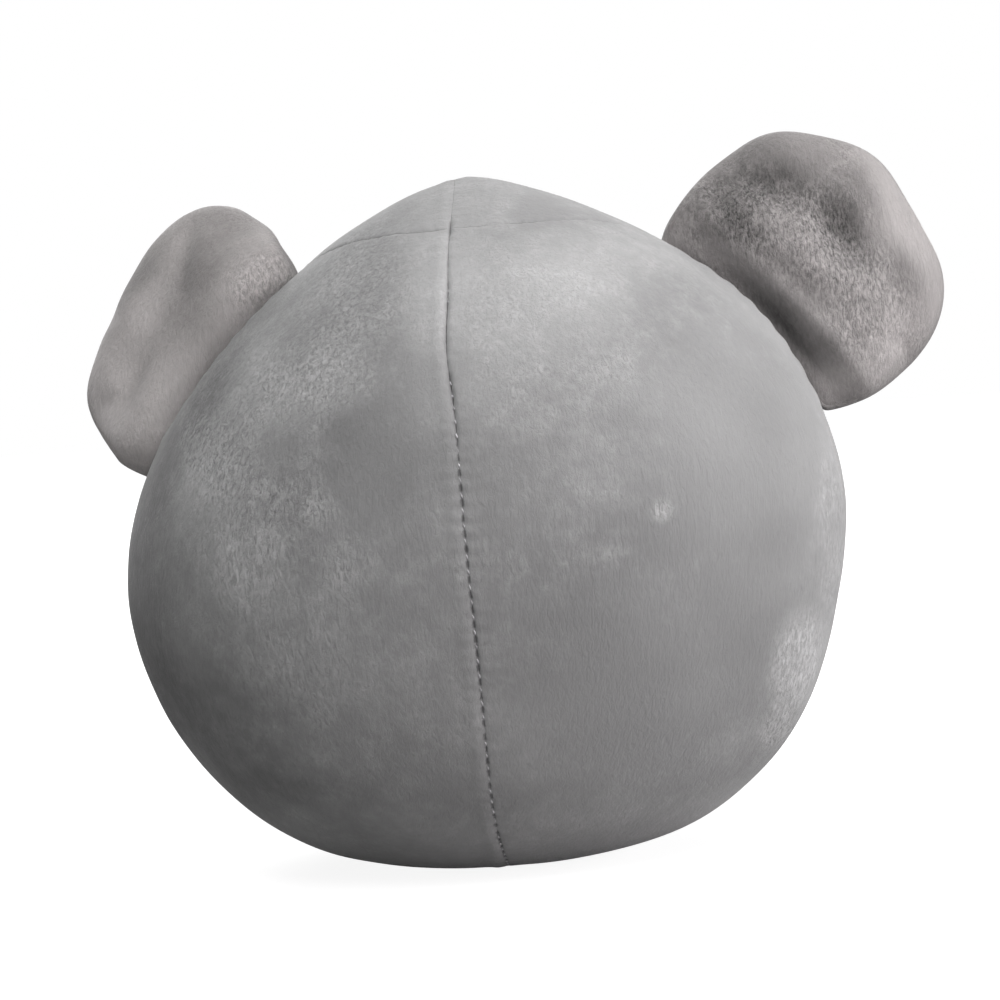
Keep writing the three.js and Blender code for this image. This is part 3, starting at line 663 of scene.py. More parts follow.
# %% Panels
PLUSH_THICKNESS = 1.6


def sewn_panel(cube_points, side, face):
    points = panel_points(*sewn_angles(cube_points, side, face))
    return line_socket(points) if face == FACES["front"] else points


panels = {}
for face_name, face in FACES.items():
    for side_name, side in SIDES.items():
        quarter = quarter_ball(side, face)
        panel = make_piece(f"plush_{face_name}_{side_name}", quarter,
                           lambda cube_points: sewn_panel(cube_points, side, face))
        add_wall(panel, PLUSH_THICKNESS)
        panels[f"{face_name}_panel_{side_name}"] = panel
        print(panel.name, len(panel.data.polygons), "squares")

# %% [markdown]
# ## Plush
# The cloth is a polyester plush with a pile of about 2 mm. Where the pile lies flat it is smooth, a
# little darker, and streaked the way it was brushed. Where a hand has brushed it up it is lighter and
# grainy. Numbers kept at the points of the mesh say how far the pile is brushed up and how much painted
# light or shade it carries, partly as pile that leans to the light, and noise at the size of the pile's tufts
# breaks up the edges of these patches. Fur could be grown as hairs, but at this pile length a grain with bump
# looks the same and is far lighter.

# %% Pile patterns
STREAK_MM = 1.1
STREAK_LENGTH = 3.2  # times its width
STREAK_DISTORTION = 0.5
TUFT_LENGTH = 2.2
TUFT_DISTORTION = 0.4
PATCH_MM = 6.0
PATCH_RAGGED = 0.85  # how far noise moves the edge of a patch
PATCH_BACK = -0.42  # about half of that, so that it moves both ways
RAISED_RANGE = (0.1, 0.9)


def lying_noise(tree, place, width_mm, length, distortion):
    """Noise as wide as a tuft or a streak, drawn out up and down the toy, the way the pile lies."""
    lie = add_node(tree, "ShaderNodeMapping", {"Vector": place, "Scale": (1, 1, 1 / length)}).outputs[0]
    return add_node(tree, "ShaderNodeTexNoise", {
        "Vector": lie,
        "Scale": 1 / (width_mm * MM),
        "Detail": 5,
        "Roughness": 0.7,
        "Distortion": distortion,
    }).outputs["Fac"]


def raised_pile(tree, place):
    """Zero where the pile lies flat and one where it is brushed up, with ragged edges between them."""
    nap = add_node(tree, "ShaderNodeAttribute", attribute_name="nap").outputs["Fac"]
    ragged = add_node(tree, "ShaderNodeTexNoise", {
        "Vector": place,
        "Scale": 1 / (PATCH_MM * MM),
        "Detail": 5,
        "Roughness": 0.65,
    }).outputs["Fac"]
    uneven = add_node(tree, "ShaderNodeMath", {
        0: ragged,
        1: PATCH_RAGGED,
        2: PATCH_BACK,
    }, operation="MULTIPLY_ADD").outputs[0]
    brushed = add_node(tree, "ShaderNodeMath", {0: nap, 1: uneven}, operation="ADD").outputs[0]
    return add_node(tree, "ShaderNodeMapRange", {
        "Value": brushed,
        "From Min": RAISED_RANGE[0],
        "From Max": RAISED_RANGE[1],
    }, interpolation_type="SMOOTHSTEP").outputs["Result"]


print(f"streaks {STREAK_MM} mm wide, patches of about {PATCH_MM} mm")

# %% [markdown]
# Down the back the needle has left a dark hole between every two stitches. The mesh is too coarse for
# such small holes, so the shade in them is painted into the finish. Two more numbers at the points say how
# near the back seam is and how far along it a point lies, and the tufts fray the edges of the holes.

# %% Needle holes
HOLE_SHADE = 0.6
HOLE_BETWEEN = (0.5, -0.7)  # of a cosine that is one at a stitch
HOLE_FRAY = 1.6
HOLE_EDGE = (0.3, 0.9)


def painted_hole_shade(tree, tufts):
    """The painted shade of the needle holes: how dark the cloth is at each."""
    near = add_node(tree, "ShaderNodeAttribute", attribute_name="seam_near").outputs["Fac"]
    along = add_node(tree, "ShaderNodeAttribute", attribute_name="seam_along").outputs["Fac"]
    per_stitch = 2 * math.pi / STITCH_PITCH
    turn = add_node(tree, "ShaderNodeMath", {0: along, 1: per_stitch}, operation="MULTIPLY").outputs[0]
    at_stitch = add_node(tree, "ShaderNodeMath", {0: turn}, operation="COSINE").outputs[0]
    spaced = add_node(tree, "ShaderNodeMapRange", {
        "Value": at_stitch,
        "From Min": HOLE_BETWEEN[0],
        "From Max": HOLE_BETWEEN[1],
    }, interpolation_type="SMOOTHSTEP").outputs["Result"]
    frayed = add_node(tree, "ShaderNodeMath", {
        0: tufts,
        1: HOLE_FRAY,
        2: -HOLE_FRAY / 2,
    }, operation="MULTIPLY_ADD").outputs[0]
    close = add_node(tree, "ShaderNodeMath", {0: near, 1: frayed}, operation="ADD").outputs[0]
    open_seam = add_node(tree, "ShaderNodeMapRange", {
        "Value": close,
        "From Min": HOLE_EDGE[0],
        "From Max": HOLE_EDGE[1],
        "To Max": HOLE_SHADE,
    }, interpolation_type="SMOOTHSTEP").outputs["Result"]
    return add_node(tree, "ShaderNodeMath", {0: open_seam, 1: spaced}, operation="MULTIPLY").outputs[0]


print(f"a needle hole every {STITCH_PITCH} mm")

# %% [markdown]
# The finish puts these together. The grain is stronger where the pile stands up. Painted light and shade,
# partly the tone of pile that leans one way or the other, shifts the mix of the two greys past its ends, so
# that all tones keep one hue. Sheen stands for the tips of the fibres, which catch light at a glancing angle.
# The ears have a coarser grain, and their greys are painted darker, for the shade on the ears, and a little
# warmer.

# %% Plush finish
TIPS_RANGE = (0.26, 0.68)


def plush_finish(name, flat_colour, raised_colour, tuft_mm, depth_mm, flat_grain, raised_grain):
    """Short-pile polyester plush. Tufts are drawn about twice as coarse as they are, so that they show."""
    material, tree, place = start_material(name)
    raised = raised_pile(tree, place)
    # painted light and shade, partly the tone of pile that leans one way or the other, kept at the points
    lean = add_node(tree, "ShaderNodeAttribute", attribute_name="lean").outputs["Fac"]
    tufts = lying_noise(tree, place, tuft_mm, TUFT_LENGTH, TUFT_DISTORTION)
    tips = add_node(tree, "ShaderNodeMapRange", {
        "Value": tufts,
        "From Min": TIPS_RANGE[0],
        "From Max": TIPS_RANGE[1],
    }, interpolation_type="SMOOTHSTEP").outputs["Result"]
    streaks = lying_noise(tree, place, STREAK_MM, STREAK_LENGTH, STREAK_DISTORTION)
    pile = add_node(tree, "ShaderNodeMix", {
        FACTOR: raised,
        NUMBER_A: streaks,
        NUMBER_B: tips,
    }).outputs[MIXED_NUMBER]
    grain = add_node(tree, "ShaderNodeMath", {0: pile, 1: 0.5}, operation="SUBTRACT").outputs[0]
    contrast = add_node(tree, "ShaderNodeMath", {
        0: raised,
        1: raised_grain - flat_grain,
        2: flat_grain,
    }, operation="MULTIPLY_ADD").outputs[0]
    # the painted light and shade adds to the tone of the pile
    lit = add_node(tree, "ShaderNodeMath", {0: raised, 1: lean}, operation="ADD").outputs[0]
    tone = add_node(tree, "ShaderNodeMath", {
        0: grain,
        1: contrast,
        2: lit,
    }, operation="MULTIPLY_ADD").outputs[0]
    grey = add_node(tree, "ShaderNodeMix", {
        FACTOR: tone,
        COLOUR_A: hex_colour(flat_colour),
        COLOUR_B: hex_colour(raised_colour),
    }, data_type="RGBA", clamp_factor=False).outputs[MIXED_COLOUR]
    # painted shade of the needle holes in the back seam
    colour = add_node(tree, "ShaderNodeMix", {
        FACTOR: painted_hole_shade(tree, tufts),
        COLOUR_A: grey,
        COLOUR_B: hex_colour("262528"),
    }, data_type="RGBA").outputs[MIXED_COLOUR]
    bump = add_node(tree, "ShaderNodeBump", {
        "Height": pile,
        "Strength": 0.7,
        "Distance": depth_mm * MM,
    }).outputs[0]
    cloth = add_node(tree, "ShaderNodeBsdfPrincipled", {
        "Base Color": colour,
        "Roughness": 0.9,
        "IOR": 1.5,
        "Specular IOR Level": 0.2,
        "Sheen Weight": 0.25,
        "Sheen Roughness": 0.45,
        "Sheen Tint": hex_colour("d8d6d8"),
        "Normal": bump,
    }).outputs[0]
    add_node(tree, "ShaderNodeOutputMaterial", {"Surface": cloth})
    return material


body_plush = plush_finish("brushed_grey_plush", "979797", "b4b4b4",
                          tuft_mm=1.0, depth_mm=0.5, flat_grain=0.42, raised_grain=2.1)
# The ears' plush is the body's cloth with a coarser grain, its greys painted darker, for the shade on the
# ears, and a little warmer.
shaded_ear_plush = plush_finish("brushed_grey_plush_painted_darker", "8c8988", "aba7a6",
                         tuft_mm=0.75, depth_mm=0.8, flat_grain=1.3, raised_grain=3.1)
print("finishes", body_plush.name, "and", shaded_ear_plush.name)

# %% [markdown]
# ## Brush marks
# The pile keeps the marks of the last hand that stroked it: in some it stands up or lies flat. Other marks
# are painted light and shade, partly as pile that leans to the light or away from it: they lighten the toy
# low down, where light is thrown up from the floor, and darken it in a band beside the left ear and in other
# places.
# They could be painted by hand, but a list can be read and changed. Each mark is an oval where it lies on the
# back of the toy, with its middle, half its length and width, its turn, and a strength that is below zero for
# flat or dark. Slow random bumps fill in the rest.

# %% Brush marks
BRUSH_MARKS = (  # across mm, height mm, half length, half width, turn in degrees, strength
    (32, 124, 14, 8, 15, 0.3),
    (53, 83, 9, 12, 70, 0.4),
    (35, 95, 5, 6, 0, 0.3),
    (29, 82, 8, 6, 0, 0.28),
    (62, 104, 14, 8, 55, 0.25),
    (50, 66, 22, 16, 0, 0.12),
    (50, 112, 19, 26, 0, 0.36),
    (24, 142, 14, 18, 0, 0.36),
    (-62, 92, 24, 34, 0, -0.25),
    (22, 112, 12, 30, 8, -0.25),
    (45, 108, 7, 7, 60, -0.3),
    (-24, 142, 26, 13, -15, 0.08),
    (-10, 122, 9, 14, 0, 0.15),
    (-30, 120, 16, 7, -30, 0.2),
    (-43, 89, 3, 3, 0, 0.6),
    (-73, 48, 6, 12, 10, 0.9),
    (-68, 31, 4, 5, 0, 0.6),
    (-27, 81, 8, 2.5, 0, 0.2),
    (-6, 80, 9, 5, -5, 0.15),
    (-60, 76, 6, 2.5, 0, 0.15),
    (-86, 80, 6, 22, 0, 0.45),
    (-40, 50, 34, 24, 0, -0.2),
    (6, 160, 7, 4, 0, -0.35),
    (-18, 161, 6, 5, 0, -0.3),
)
LEAN_AND_PAINTED_LIGHT_MARKS = (  # as above, for painted light and shade, partly pile that leans to the light or away from it
    (50, 112, 19, 26, 0, -0.5),
    (24, 142, 14, 18, 0, -0.42),
    (-24, 142, 26, 13, -15, 0.55),
    (-62, 92, 24, 34, 0, 0.14),
    (30, 104, 26, 26, 0, -0.35),
    (8, 146, 9, 20, 0, 0.4),
    (5, 152, 8, 24, 0, 0.25),
    (4, 92, 7, 14, 0, 0.3),
    (51, 122, 9, 12, 0, 0.4),
    (44, 114, 10, 12, 0, 0.3),
    (32, 124, 14, 8, 15, 0.2),
    (53, 83, 9, 12, 70, 0.25),
    (66, 98, 10, 8, 55, 0.2),
    (70, 114, 34, 6, -61, -0.85),
    (-70, 132, 14, 5, 42, 0.4),
    (60, 23, 16, 8, -25, -0.4),
    (2, 138, 12, 26, 0, 0.25),
    (-36, 132, 16, 11, 0, -0.2),
    (-20, 84, 26, 14, 0, -0.25),
    (84, 60, 14, 40, 0, -0.5),
    (66, 40, 20, 24, 0, -0.85),
    (86, 56, 10, 28, 0, -0.4),
    (36, 27, 12, 7, 0, -0.4),
    (-6, 46, 18, 20, 0, 0.3),
    (-84, 84, 12, 40, 0, 0.25),
    (-78, 45, 8, 14, 0, 0.8),
    (-24, 12, 44, 9, 0, 0.4),
)
MARK_EXPONENT = 1.5  # flat in the middle of a mark, with a clear edge
MARKS_FADE = 10.0  # the marks lie on the back and fade at the sides
BODY_NAP = 0.3
BODY_NAP_BUMPS = ((0.11, 32, 11), (0.06, 11, 12))
BODY_LEAN_BUMPS = ((0.1, 40, 15), (0.12, 14, 17))


def oval_marks(aside, above, marks, exponent):
    """The sum of the marks at these places."""
    total = np.zeros(len(aside))
    for across, height, length, width, turn, strength in marks:
        angle = math.radians(turn)
        x, y = aside - across, above - height
        along = (x * math.cos(angle) + y * math.sin(angle)) / length
        over = (y * math.cos(angle) - x * math.sin(angle)) / width
        total += strength * np.exp(-(along ** 2 + over ** 2) ** exponent)
    return total


def store(mesh, **numbers):
    """Keeps a number at each point of the mesh, under the name by which the finish reads it."""
    for name, values in numbers.items():
        attribute = mesh.attributes.new(name, "FLOAT", "POINT")
        attribute.data.foreach_set("value", values.astype(np.float32))


def stroke_body(mesh):
    """The pile of the body and trunk, brushed here and there."""
    points = read_points(mesh) / MM
    behind = smooth(points[:, 1] / MARKS_FADE)
    nap = BODY_NAP + bumps(points, BODY_NAP_BUMPS)
    nap += oval_marks(points[:, 0], points[:, 2], BRUSH_MARKS, MARK_EXPONENT) * behind
    # random tone of leaning pile, and marks of painted light and shade: lighter low down, where light is
    # thrown up from the floor, and darker in a band beside the left ear
    lean = bumps(points, BODY_LEAN_BUMPS)
    lean += oval_marks(points[:, 0], points[:, 2], LEAN_AND_PAINTED_LIGHT_MARKS, MARK_EXPONENT) * behind
    store(mesh, nap=nap, lean=lean)


# the marks of leaning pile are painted light and shade
print(len(BRUSH_MARKS), "brush marks and", len(LEAN_AND_PAINTED_LIGHT_MARKS), "marks of leaning pile")

# %% [markdown]
# Each panel gets its pile and its finish. The points near the back seam also learn how far along it they
# lie, because the needle holes have to fall between the stitches.

# %% Dress the panels
HOLE_REACH = 0.9


def mark_seam(mesh):
    """Keeps how near the back seam is, and the length along it, for the needle holes."""
    toward = read_points(mesh) / MM - body_centre
    radius = np.linalg.norm(toward, axis=1)
    across = np.arcsin(toward[:, 0] / radius)
    along = np.arctan2(toward[:, 1], toward[:, 2])
    aside = np.abs(radius * (across - middle_seam(along)))
    near = np.maximum(0, 1 - aside / HOLE_REACH) * stitched(along)
    store(mesh, seam_near=near, seam_along=middle_length(along))


for node, panel in panels.items():
    stroke_body(panel.data)
    mark_seam(panel.data)
    panel.data.materials.append(body_plush)
    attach(panel, "body")
    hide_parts(node)
print(len(panels), "panels dressed")

# %% [markdown]
# ## Stitches
# A machine stitch shows about every 3.5 mm down in the seam. Each one is a small rounded grain that lies
# slightly across the seam, made from a coarse sphere because there are hundreds of them. They could be one
# long cord, but then the seam would not read as sewn. All the stitches of one seam are one piece.

# %% Thread finish
THREAD_TWIST_MM = 0.5
THREAD_COARSER = 20  # times the twist, so that one stitch differs in shade from the next


def thread_finish():
    """Twisted polyester thread: two plies make a fine slanting pattern, drawn coarser so that it shows."""
    material, tree, place = start_material("twisted_grey_thread")
    plies = add_node(tree, "ShaderNodeTexWave", {
        "Vector": place,
        "Scale": 1 / (THREAD_TWIST_MM * MM) / THREAD_COARSER,
        "Distortion": 1.5,
    }, bands_direction="DIAGONAL").outputs["Fac"]
    colour = add_node(tree, "ShaderNodeMix", {
        FACTOR: plies,
        COLOUR_A: hex_colour("a09fa2"),
        COLOUR_B: hex_colour("cdcccf"),
    }, data_type="RGBA").outputs[MIXED_COLOUR]
    bump = add_node(tree, "ShaderNodeBump", {
        "Height": plies,
        "Strength": 0.4,
        "Distance": 0.05 * MM,
    }).outputs[0]
    yarn = add_node(tree, "ShaderNodeBsdfPrincipled", {
        "Base Color": colour,
        "Roughness": 0.6,
        "IOR": 1.55,
        "Specular IOR Level": 0.4,
        "Normal": bump,
    }).outputs[0]
    add_node(tree, "ShaderNodeOutputMaterial", {"Surface": yarn})
    return material


thread = thread_finish()
print("finish", thread.name)

# %% [markdown]
# A stitch follows the seam at its place, and no two are quite alike: length, width and depth vary a
# little. Where the stuffing pushes the cloth out, the stitch is carried along with it.

# %% Stitches
STITCH_LENGTH = 1.3
STITCH_WIDTH = 0.42
STITCH_SIDES = 6
STITCH_RINGS = 5
STITCH_SLANT = math.radians(14)
STITCH_STEP = 0.5  # to each side of a stitch, for the seam's direction there
LENGTH_SPREAD = (0.8, 1.2)
WIDTH_SPREAD = (0.85, 1.15)
SINK_SPREAD = (-0.1, 0.2)
CROWN_SINK = 0.9  # stitches near the crown lie deeper, out of sight
CROWN_SINK_HEIGHT = 112
CROWN_SINK_EASE = 12


def add_stitches(bm, sink, line, first, last):
    """Stitches along one seam, between two of its lengths."""
    across, along, lengths = line
    rows = np.arange(len(lengths))
    marks = np.arange(math.ceil(first / STITCH_PITCH), math.floor(last / STITCH_PITCH) + 1) * STITCH_PITCH
    rng = np.random.default_rng(len(marks))
    for mark in marks:
        spots = np.interp([mark - STITCH_STEP, mark, mark + STITCH_STEP], lengths, rows)
        toward = heading(np.interp(spots, rows, across), np.interp(spots, rows, along))
        points = form_point(toward)
        normal = form_normal(toward[1:2])[0]
        tangent = points[2] - points[0]
        tangent /= np.linalg.norm(tangent)
        aside = np.cross(normal, tangent)
        lie = math.cos(STITCH_SLANT) * tangent + math.sin(STITCH_SLANT) * aside
        cross = np.cross(normal, lie)
        length = STITCH_LENGTH * rng.uniform(*LENGTH_SPREAD)
        width = STITCH_WIDTH * rng.uniform(*WIDTH_SPREAD)
        near_crown = smooth((points[1][2] - CROWN_SINK_HEIGHT) / CROWN_SINK_EASE)
        deep = sink + rng.uniform(*SINK_SPREAD) + CROWN_SINK * near_crown
        deep -= stuffing_lumps(points[1:2])[0]
        axes = (lie * length / 2, cross * width / 2, normal * width / 2)
        turned = Matrix([Vector(axis) for axis in axes]).transposed().to_4x4()
        turned.translation = Vector(points[1] - normal * deep)
        bmesh.ops.create_uvsphere(bm, u_segments=STITCH_SIDES, v_segments=STITCH_RINGS, radius=1,
                                  matrix=turned)


print(f"stitches {STITCH_LENGTH} mm long and {STITCH_WIDTH} mm thick")

# %% [markdown]
# The seams are cut into runs, because nothing is stitched across another seam, inside the trunk's socket
# or in the root of an ear. Only the stitches of the back seam lie high enough to be seen.

# %% Seam runs
SHOWN_SINK = 0.38  # in the back seam
HIDDEN_SINK = 1.1  # in the other seams
STITCH_FLOOR = 0.1  # above the ground
CROWN_GAP = 3
SEAT_GAP = 2
EAR_GAP = 7
SOCKET_TURN = math.radians(17)
trunk_turn = math.atan2(trunk_pivot[1] - body_centre[1], trunk_pivot[2] - body_centre[2])
crown_crossing = middle_length(CROWN_TILT)
seat_crossing = seat_length(MIDDLE_SEAM)
seam_runs = {
    "back_seam": [(middle_line, crown_crossing + CROWN_GAP, middle_length(math.pi))],
    "brow_seam": [(middle_line, middle_length(trunk_turn + SOCKET_TURN), crown_crossing - CROWN_GAP)],
    "chin_seam": [(middle_line, SEAT_GAP, middle_length(trunk_turn - SOCKET_TURN))],
    "crown_seam": [(crown_line, crown_length(-EAR_TOP) + EAR_GAP, crown_length(EAR_TOP) - EAR_GAP)],
    "left_side_seam": [
        (crown_line, crown_length(EAR_BOTTOM) + EAR_GAP, crown_length(math.pi / 2)),
        (seat_line, seat_crossing + SEAT_GAP, seat_length(math.pi / 2)),
    ],
    "right_side_seam": [
        (crown_line, 0, crown_length(-EAR_BOTTOM) - EAR_GAP),
        (seat_line, 0, seat_crossing - SEAT_GAP),
    ],
}


def off_ground(points):
    points[:, 2] = np.maximum(points[:, 2], STITCH_FLOOR)
    return points


for name, runs in seam_runs.items():
    bm = bmesh.new()
    for line, first, last in runs:
        add_stitches(bm, SHOWN_SINK if name == "back_seam" else HIDDEN_SINK, line, first, last)
    stitches = make_piece(f"{name}_stitches", bm, off_ground)
    stitches.data.materials.append(thread)
    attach(stitches, "body")
    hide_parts(f"{name}_thread")
    print(stitches.name, len(stitches.data.polygons) // (STITCH_SIDES * STITCH_RINGS), "stitches")

# %% [markdown]
# ## Ears
# An ear is two layers of plush sewn round the rim, turned out, and lightly stuffed. Its root is caught in
# the crown seam. The outline has two parts: the free rim, which follows the pattern that the ear was cut
# from, and the root, which follows the seam of the body.

# %% Ear outline
EAR_FULLEST = 16.0  # height of the ear's fullest point above its root
EAR_PATTERN = {  # the rim of each ear as it lies, along the root and above it
    "left": (
        (-28, -11), (-32.5, -5), (-35, 5), (-35, 20), (-33.5, 33),
        (-28.5, 40.5), (-21.5, 44), (-11.5, 45), (-1.5, 42.5), (10, 38.5),
        (24, 33.5), (29, 31.5), (33, 24), (34.5, 8), (31, -12),
    ),
    "right": (
        (32.5, -7), (35.5, 5), (35, 19), (33.5, 29.5), (30, 34.5), (23, 39.5),
        (14, 45.5), (8.5, 47), (-2, 45), (-13, 42.8), (-25, 38.5),
        (-30, 33.5), (-33.5, 27), (-35, 13), (-33.5, 1.5), (-28.5, -8),
    ),
}
EAR_PATTERN_EASE = 5  # degrees of turn over which the rim is rounded
EAR_ROOT_SINK = 2.2  # the root lies in the open seam
EAR_ROOT_POINTS = 40
EAR_HALVINGS = 30


def ear_frame(side):
    """The middle of the ear's root, and rows for the root's line, outwards and forwards."""
    joint = joints[f"{side}_ear_flop"]
    pivot = np.array(joint["pos_m"]) / MM
    root_line = np.array(joint["axis"])
    outward = pivot - body_centre
    outward = outward - root_line * (outward @ root_line)
    outward /= np.linalg.norm(outward)
    return pivot, np.array([root_line, outward, np.cross(root_line, outward)])


def ear_root(side):
    """Places along the root and the height of the body's seam there."""
    pivot, rows = ear_frame(side)
    turn = np.linspace(EAR_TOP, EAR_BOTTOM, EAR_ROOT_POINTS) * SIDES[side]
    seam = (form_point(heading(turn, np.zeros(EAR_ROOT_POINTS))) - pivot) @ rows.T
    order = np.argsort(seam[:, 0])
    return seam[order, 0], seam[order, 1] - EAR_ROOT_SINK


def ear_rim(side):
    """The rim's reach from the ear's fullest point, for every degree of turn."""
    corners = np.array(EAR_PATTERN[side], float) - (0, EAR_FULLEST)
    turns = np.degrees(np.arctan2(corners[:, 1], corners[:, 0])) % 360
    reach = np.interp(np.arange(360), turns, np.hypot(corners[:, 0], corners[:, 1]), period=360)
    offsets = np.arange(-3 * EAR_PATTERN_EASE, 3 * EAR_PATTERN_EASE + 1)
    weights = np.exp(-(offsets / EAR_PATTERN_EASE) ** 2 / 2)
    return sum(w * np.roll(reach, o) for w, o in zip(weights, offsets)) / weights.sum()


def ear_reach(angle, side):
    """Distance from the ear's fullest point to its outline."""
    root = ear_root(side)
    free = np.interp(np.degrees(angle) % 360, np.arange(360), ear_rim(side), period=360)

    def above_root(reach):
        return EAR_FULLEST + reach * np.sin(angle) > np.interp(reach * np.cos(angle), *root)

    return find_edge(np.zeros(angle.shape), free, above_root, EAR_HALVINGS)


print("ear root from", ear_root("left")[0].min().round(1), "to", ear_root("left")[0].max().round(1), "mm")

# %% [markdown]
# Two flat grids are bent into this outline and swell to a pillow that is thin at its rim. The layers are
# told apart by the number of their material, so that they can be cut from each other later.

# %% Ear pillow
EAR_THICKNESS = 14.0
EAR_RIM = 3.5
EAR_RIM_EXPONENT = 6
EAR_FULLNESS = {"left": 5.0, "right": 3.2}  # a higher one makes a flatter ear with a steeper rim
EAR_RISE = {"left": (-12.0, -4.0), "right": (-3.0, 4.5)}  # heights over which the stuffing fills out
EAR_CUP = 4.0
EAR_CUP_RISE = 20.0
AT_RIM = 0.999  # share of the way to the outline
FRONT_LAYER, BACK_LAYER = 0, 1


def ear_shares(grid_points):
    """From the square grid to a disc: the share of the way to the outline, and the angle."""
    u, v = grid_points[:, 0], grid_points[:, 1]
    across, upward = u * np.sqrt(1 - v * v / 2), v * np.sqrt(1 - u * u / 2)
    return np.hypot(across, upward), np.arctan2(upward, across)


def ear_height(share, height, side):
    """Half the thickness of the pillow."""
    low, high = EAR_RISE[side]
    stuffed = np.sqrt(np.maximum(1 - share ** EAR_FULLNESS[side], 0))
    stuffed = stuffed * smooth((height - low) / (high - low))
    rim = EAR_RIM / 2 * np.sqrt(np.maximum(1 - share ** EAR_RIM_EXPONENT, 0))
    return rim + (EAR_THICKNESS - EAR_RIM) / 2 * stuffed


def ear_pillow(grid_points, side, filled=1.0, inset=0.0, edge=0.0):
    """The pillow, or a smaller one in it that keeps a share of its thickness at its edge."""
    share, angle = ear_shares(grid_points)
    reach = ear_reach(angle, side) * share * filled
    x, y = reach * np.cos(angle), EAR_FULLEST + reach * np.sin(angle)
    cup = EAR_CUP * (share * filled) ** 2 * smooth(y / EAR_CUP_RISE)
    half = np.maximum(ear_height(share * filled, y, side) - inset, 0)
    half = half * np.where(share > AT_RIM, edge, 1)
    return np.stack([x, y, cup + grid_points[:, 2] * half], axis=1)


def two_layers(segments):
    """Two square grids, one facing forwards and one backwards."""
    bm = bmesh.new()
    for layer, height in ((FRONT_LAYER, 1), (BACK_LAYER, -1)):
        known = set(bm.faces)
        bmesh.ops.create_grid(bm, x_segments=segments, y_segments=segments, size=1,
                              matrix=Matrix.Translation((0, 0, height)))
        new = [face for face in bm.faces if face not in known]
        for face in new:
            face.material_index = layer
        if layer == BACK_LAYER:
            bmesh.ops.reverse_faces(bm, faces=new)
    return bm


print(f"ears up to {EAR_THICKNESS} mm thick before they are blown up")

# %% [markdown]
# The pillow is welded at the rim, and a cloth simulation blows it up while the root is held, as the
# stuffing does. A formula alone would make the ear too even. No point may move further than a cap, so
# that the ear keeps the outline it was cut to.

# %% Blow up the ears
SIM_SCALE = 10.0  # the cloth is simulated ten times as large, a size that Blender's cloth is tuned for
SIM_FRAMES = 20
EAR_GRID = 44
EAR_PRESSURE = {"left": 0.35, "right": 1.0}
EAR_CAP = {"left": 1.5, "right": 4.0}
RIM_WELD = 0.02
ROOT_HELD = 2.0  # height above the root up to which the cloth is held


def blow_up(mesh, held, pressure, cap):
    """Simulates the mesh as cloth under pressure and returns its new points, in millimetres."""
    start = read_points(mesh)
    write_points(mesh, start * SIM_SCALE)
    cloth = bpy.data.objects.new("cloth_at_work", mesh)
    scene.collection.objects.link(cloth)
    pins = cloth.vertex_groups.new(name="held")
    pins.add([int(i) for i in np.flatnonzero(held)], 1.0, "REPLACE")
    simulation = cloth.modifiers.new("cloth", "CLOTH")
    settings = simulation.settings
    settings.vertex_group_mass = "held"
    settings.use_pressure = True
    settings.uniform_pressure_force = pressure
    settings.effector_weights.gravity = 0
    simulation.point_cache.frame_start = 1
    simulation.point_cache.frame_end = SIM_FRAMES
    for step in range(1, SIM_FRAMES + 1):
        scene.frame_set(step)
    blown = cloth.evaluated_get(bpy.context.evaluated_depsgraph_get())
    end = read_points(blown.data) / SIM_SCALE
    scene.frame_set(1)
    bpy.data.objects.remove(cloth)
    move = end - start
    length = np.linalg.norm(move, axis=1, keepdims=True) / MM
    held_back = np.minimum(1, cap / np.maximum(length, 1e-9))
    print(f"largest move {length.max():.1f} mm, mean {length.mean():.2f} mm")
    return (start + move * held_back) / MM


def sewn_ear(side):
    """The ear's closed pillow as it is cut, and its points when it is blown up, in its own frame."""
    flat = make_piece(f"{side}_ear_cut", two_layers(EAR_GRID), lambda points: ear_pillow(points, side))
    bm = bmesh.new()
    bm.from_mesh(flat.data)
    bmesh.ops.remove_doubles(bm, verts=bm.verts, dist=RIM_WELD * MM)
    bm.to_mesh(flat.data)
    bm.free()
    points = read_points(flat.data) / MM
    above = points[:, 1] - np.interp(points[:, 0], *ear_root(side))
    blown = blow_up(flat.data.copy(), above < ROOT_HELD, EAR_PRESSURE[side], EAR_CAP[side])
    return flat, blown


ears = {side: sewn_ear(side) for side in SIDES}

# %% [markdown]
# Each ear keeps a few soft dents where it was pressed, and small gathers where the wide cloth is taken
# into the shorter seam. The dents lie in the back layer only, and the gathers run through both layers.

# %% Dents and gathers
EAR_DENTS = {  # along the root, height, half length, half width, turn in degrees, depth
    "left": (
        (-17, 24, 13, 3.0, -52, 1.6),
        (16, 9, 9, 3.0, -8, 1.3),
        (-26, 8, 9, 8, 0, -0.5),
        (8, 28, 16, 7, -15, -0.5),
    ),
    "right": (
        (20, 21, 6, 5, -30, 2.6),
        (3, 24.5, 10, 5, 5, 2.8),
        (17, 5, 7, 5, 0, 1.8),
        (-9, 35, 24, 4, 16, -1.0),
        (25, 31, 8, 5, -30, -0.6),
        (5, 15, 12, 6, 0, -1.0),
        (-5, 4, 22, 3, 0, -1.6),
        (-5, -2.5, 20, 3, 0, 2.0),
        (30, 9, 6, 8, 0, 1.2),
        (-24, 22, 8, 3, 30, 0.8),
    ),
}
DENT_EXPONENT = 1  # soft all over
EAR_BUMPS = ((0.4, 16, 21), (0.15, 7, 22))
EAR_BUMPS_RISE = (-6, 10)  # height at which they begin, and the stretch over which they grow
GATHER_PITCH = 3.2
GATHER_RHYTHM = 5
GATHER_DEPTH = 0.3
GATHER_START = 10.0  # only the top end of the root is gathered
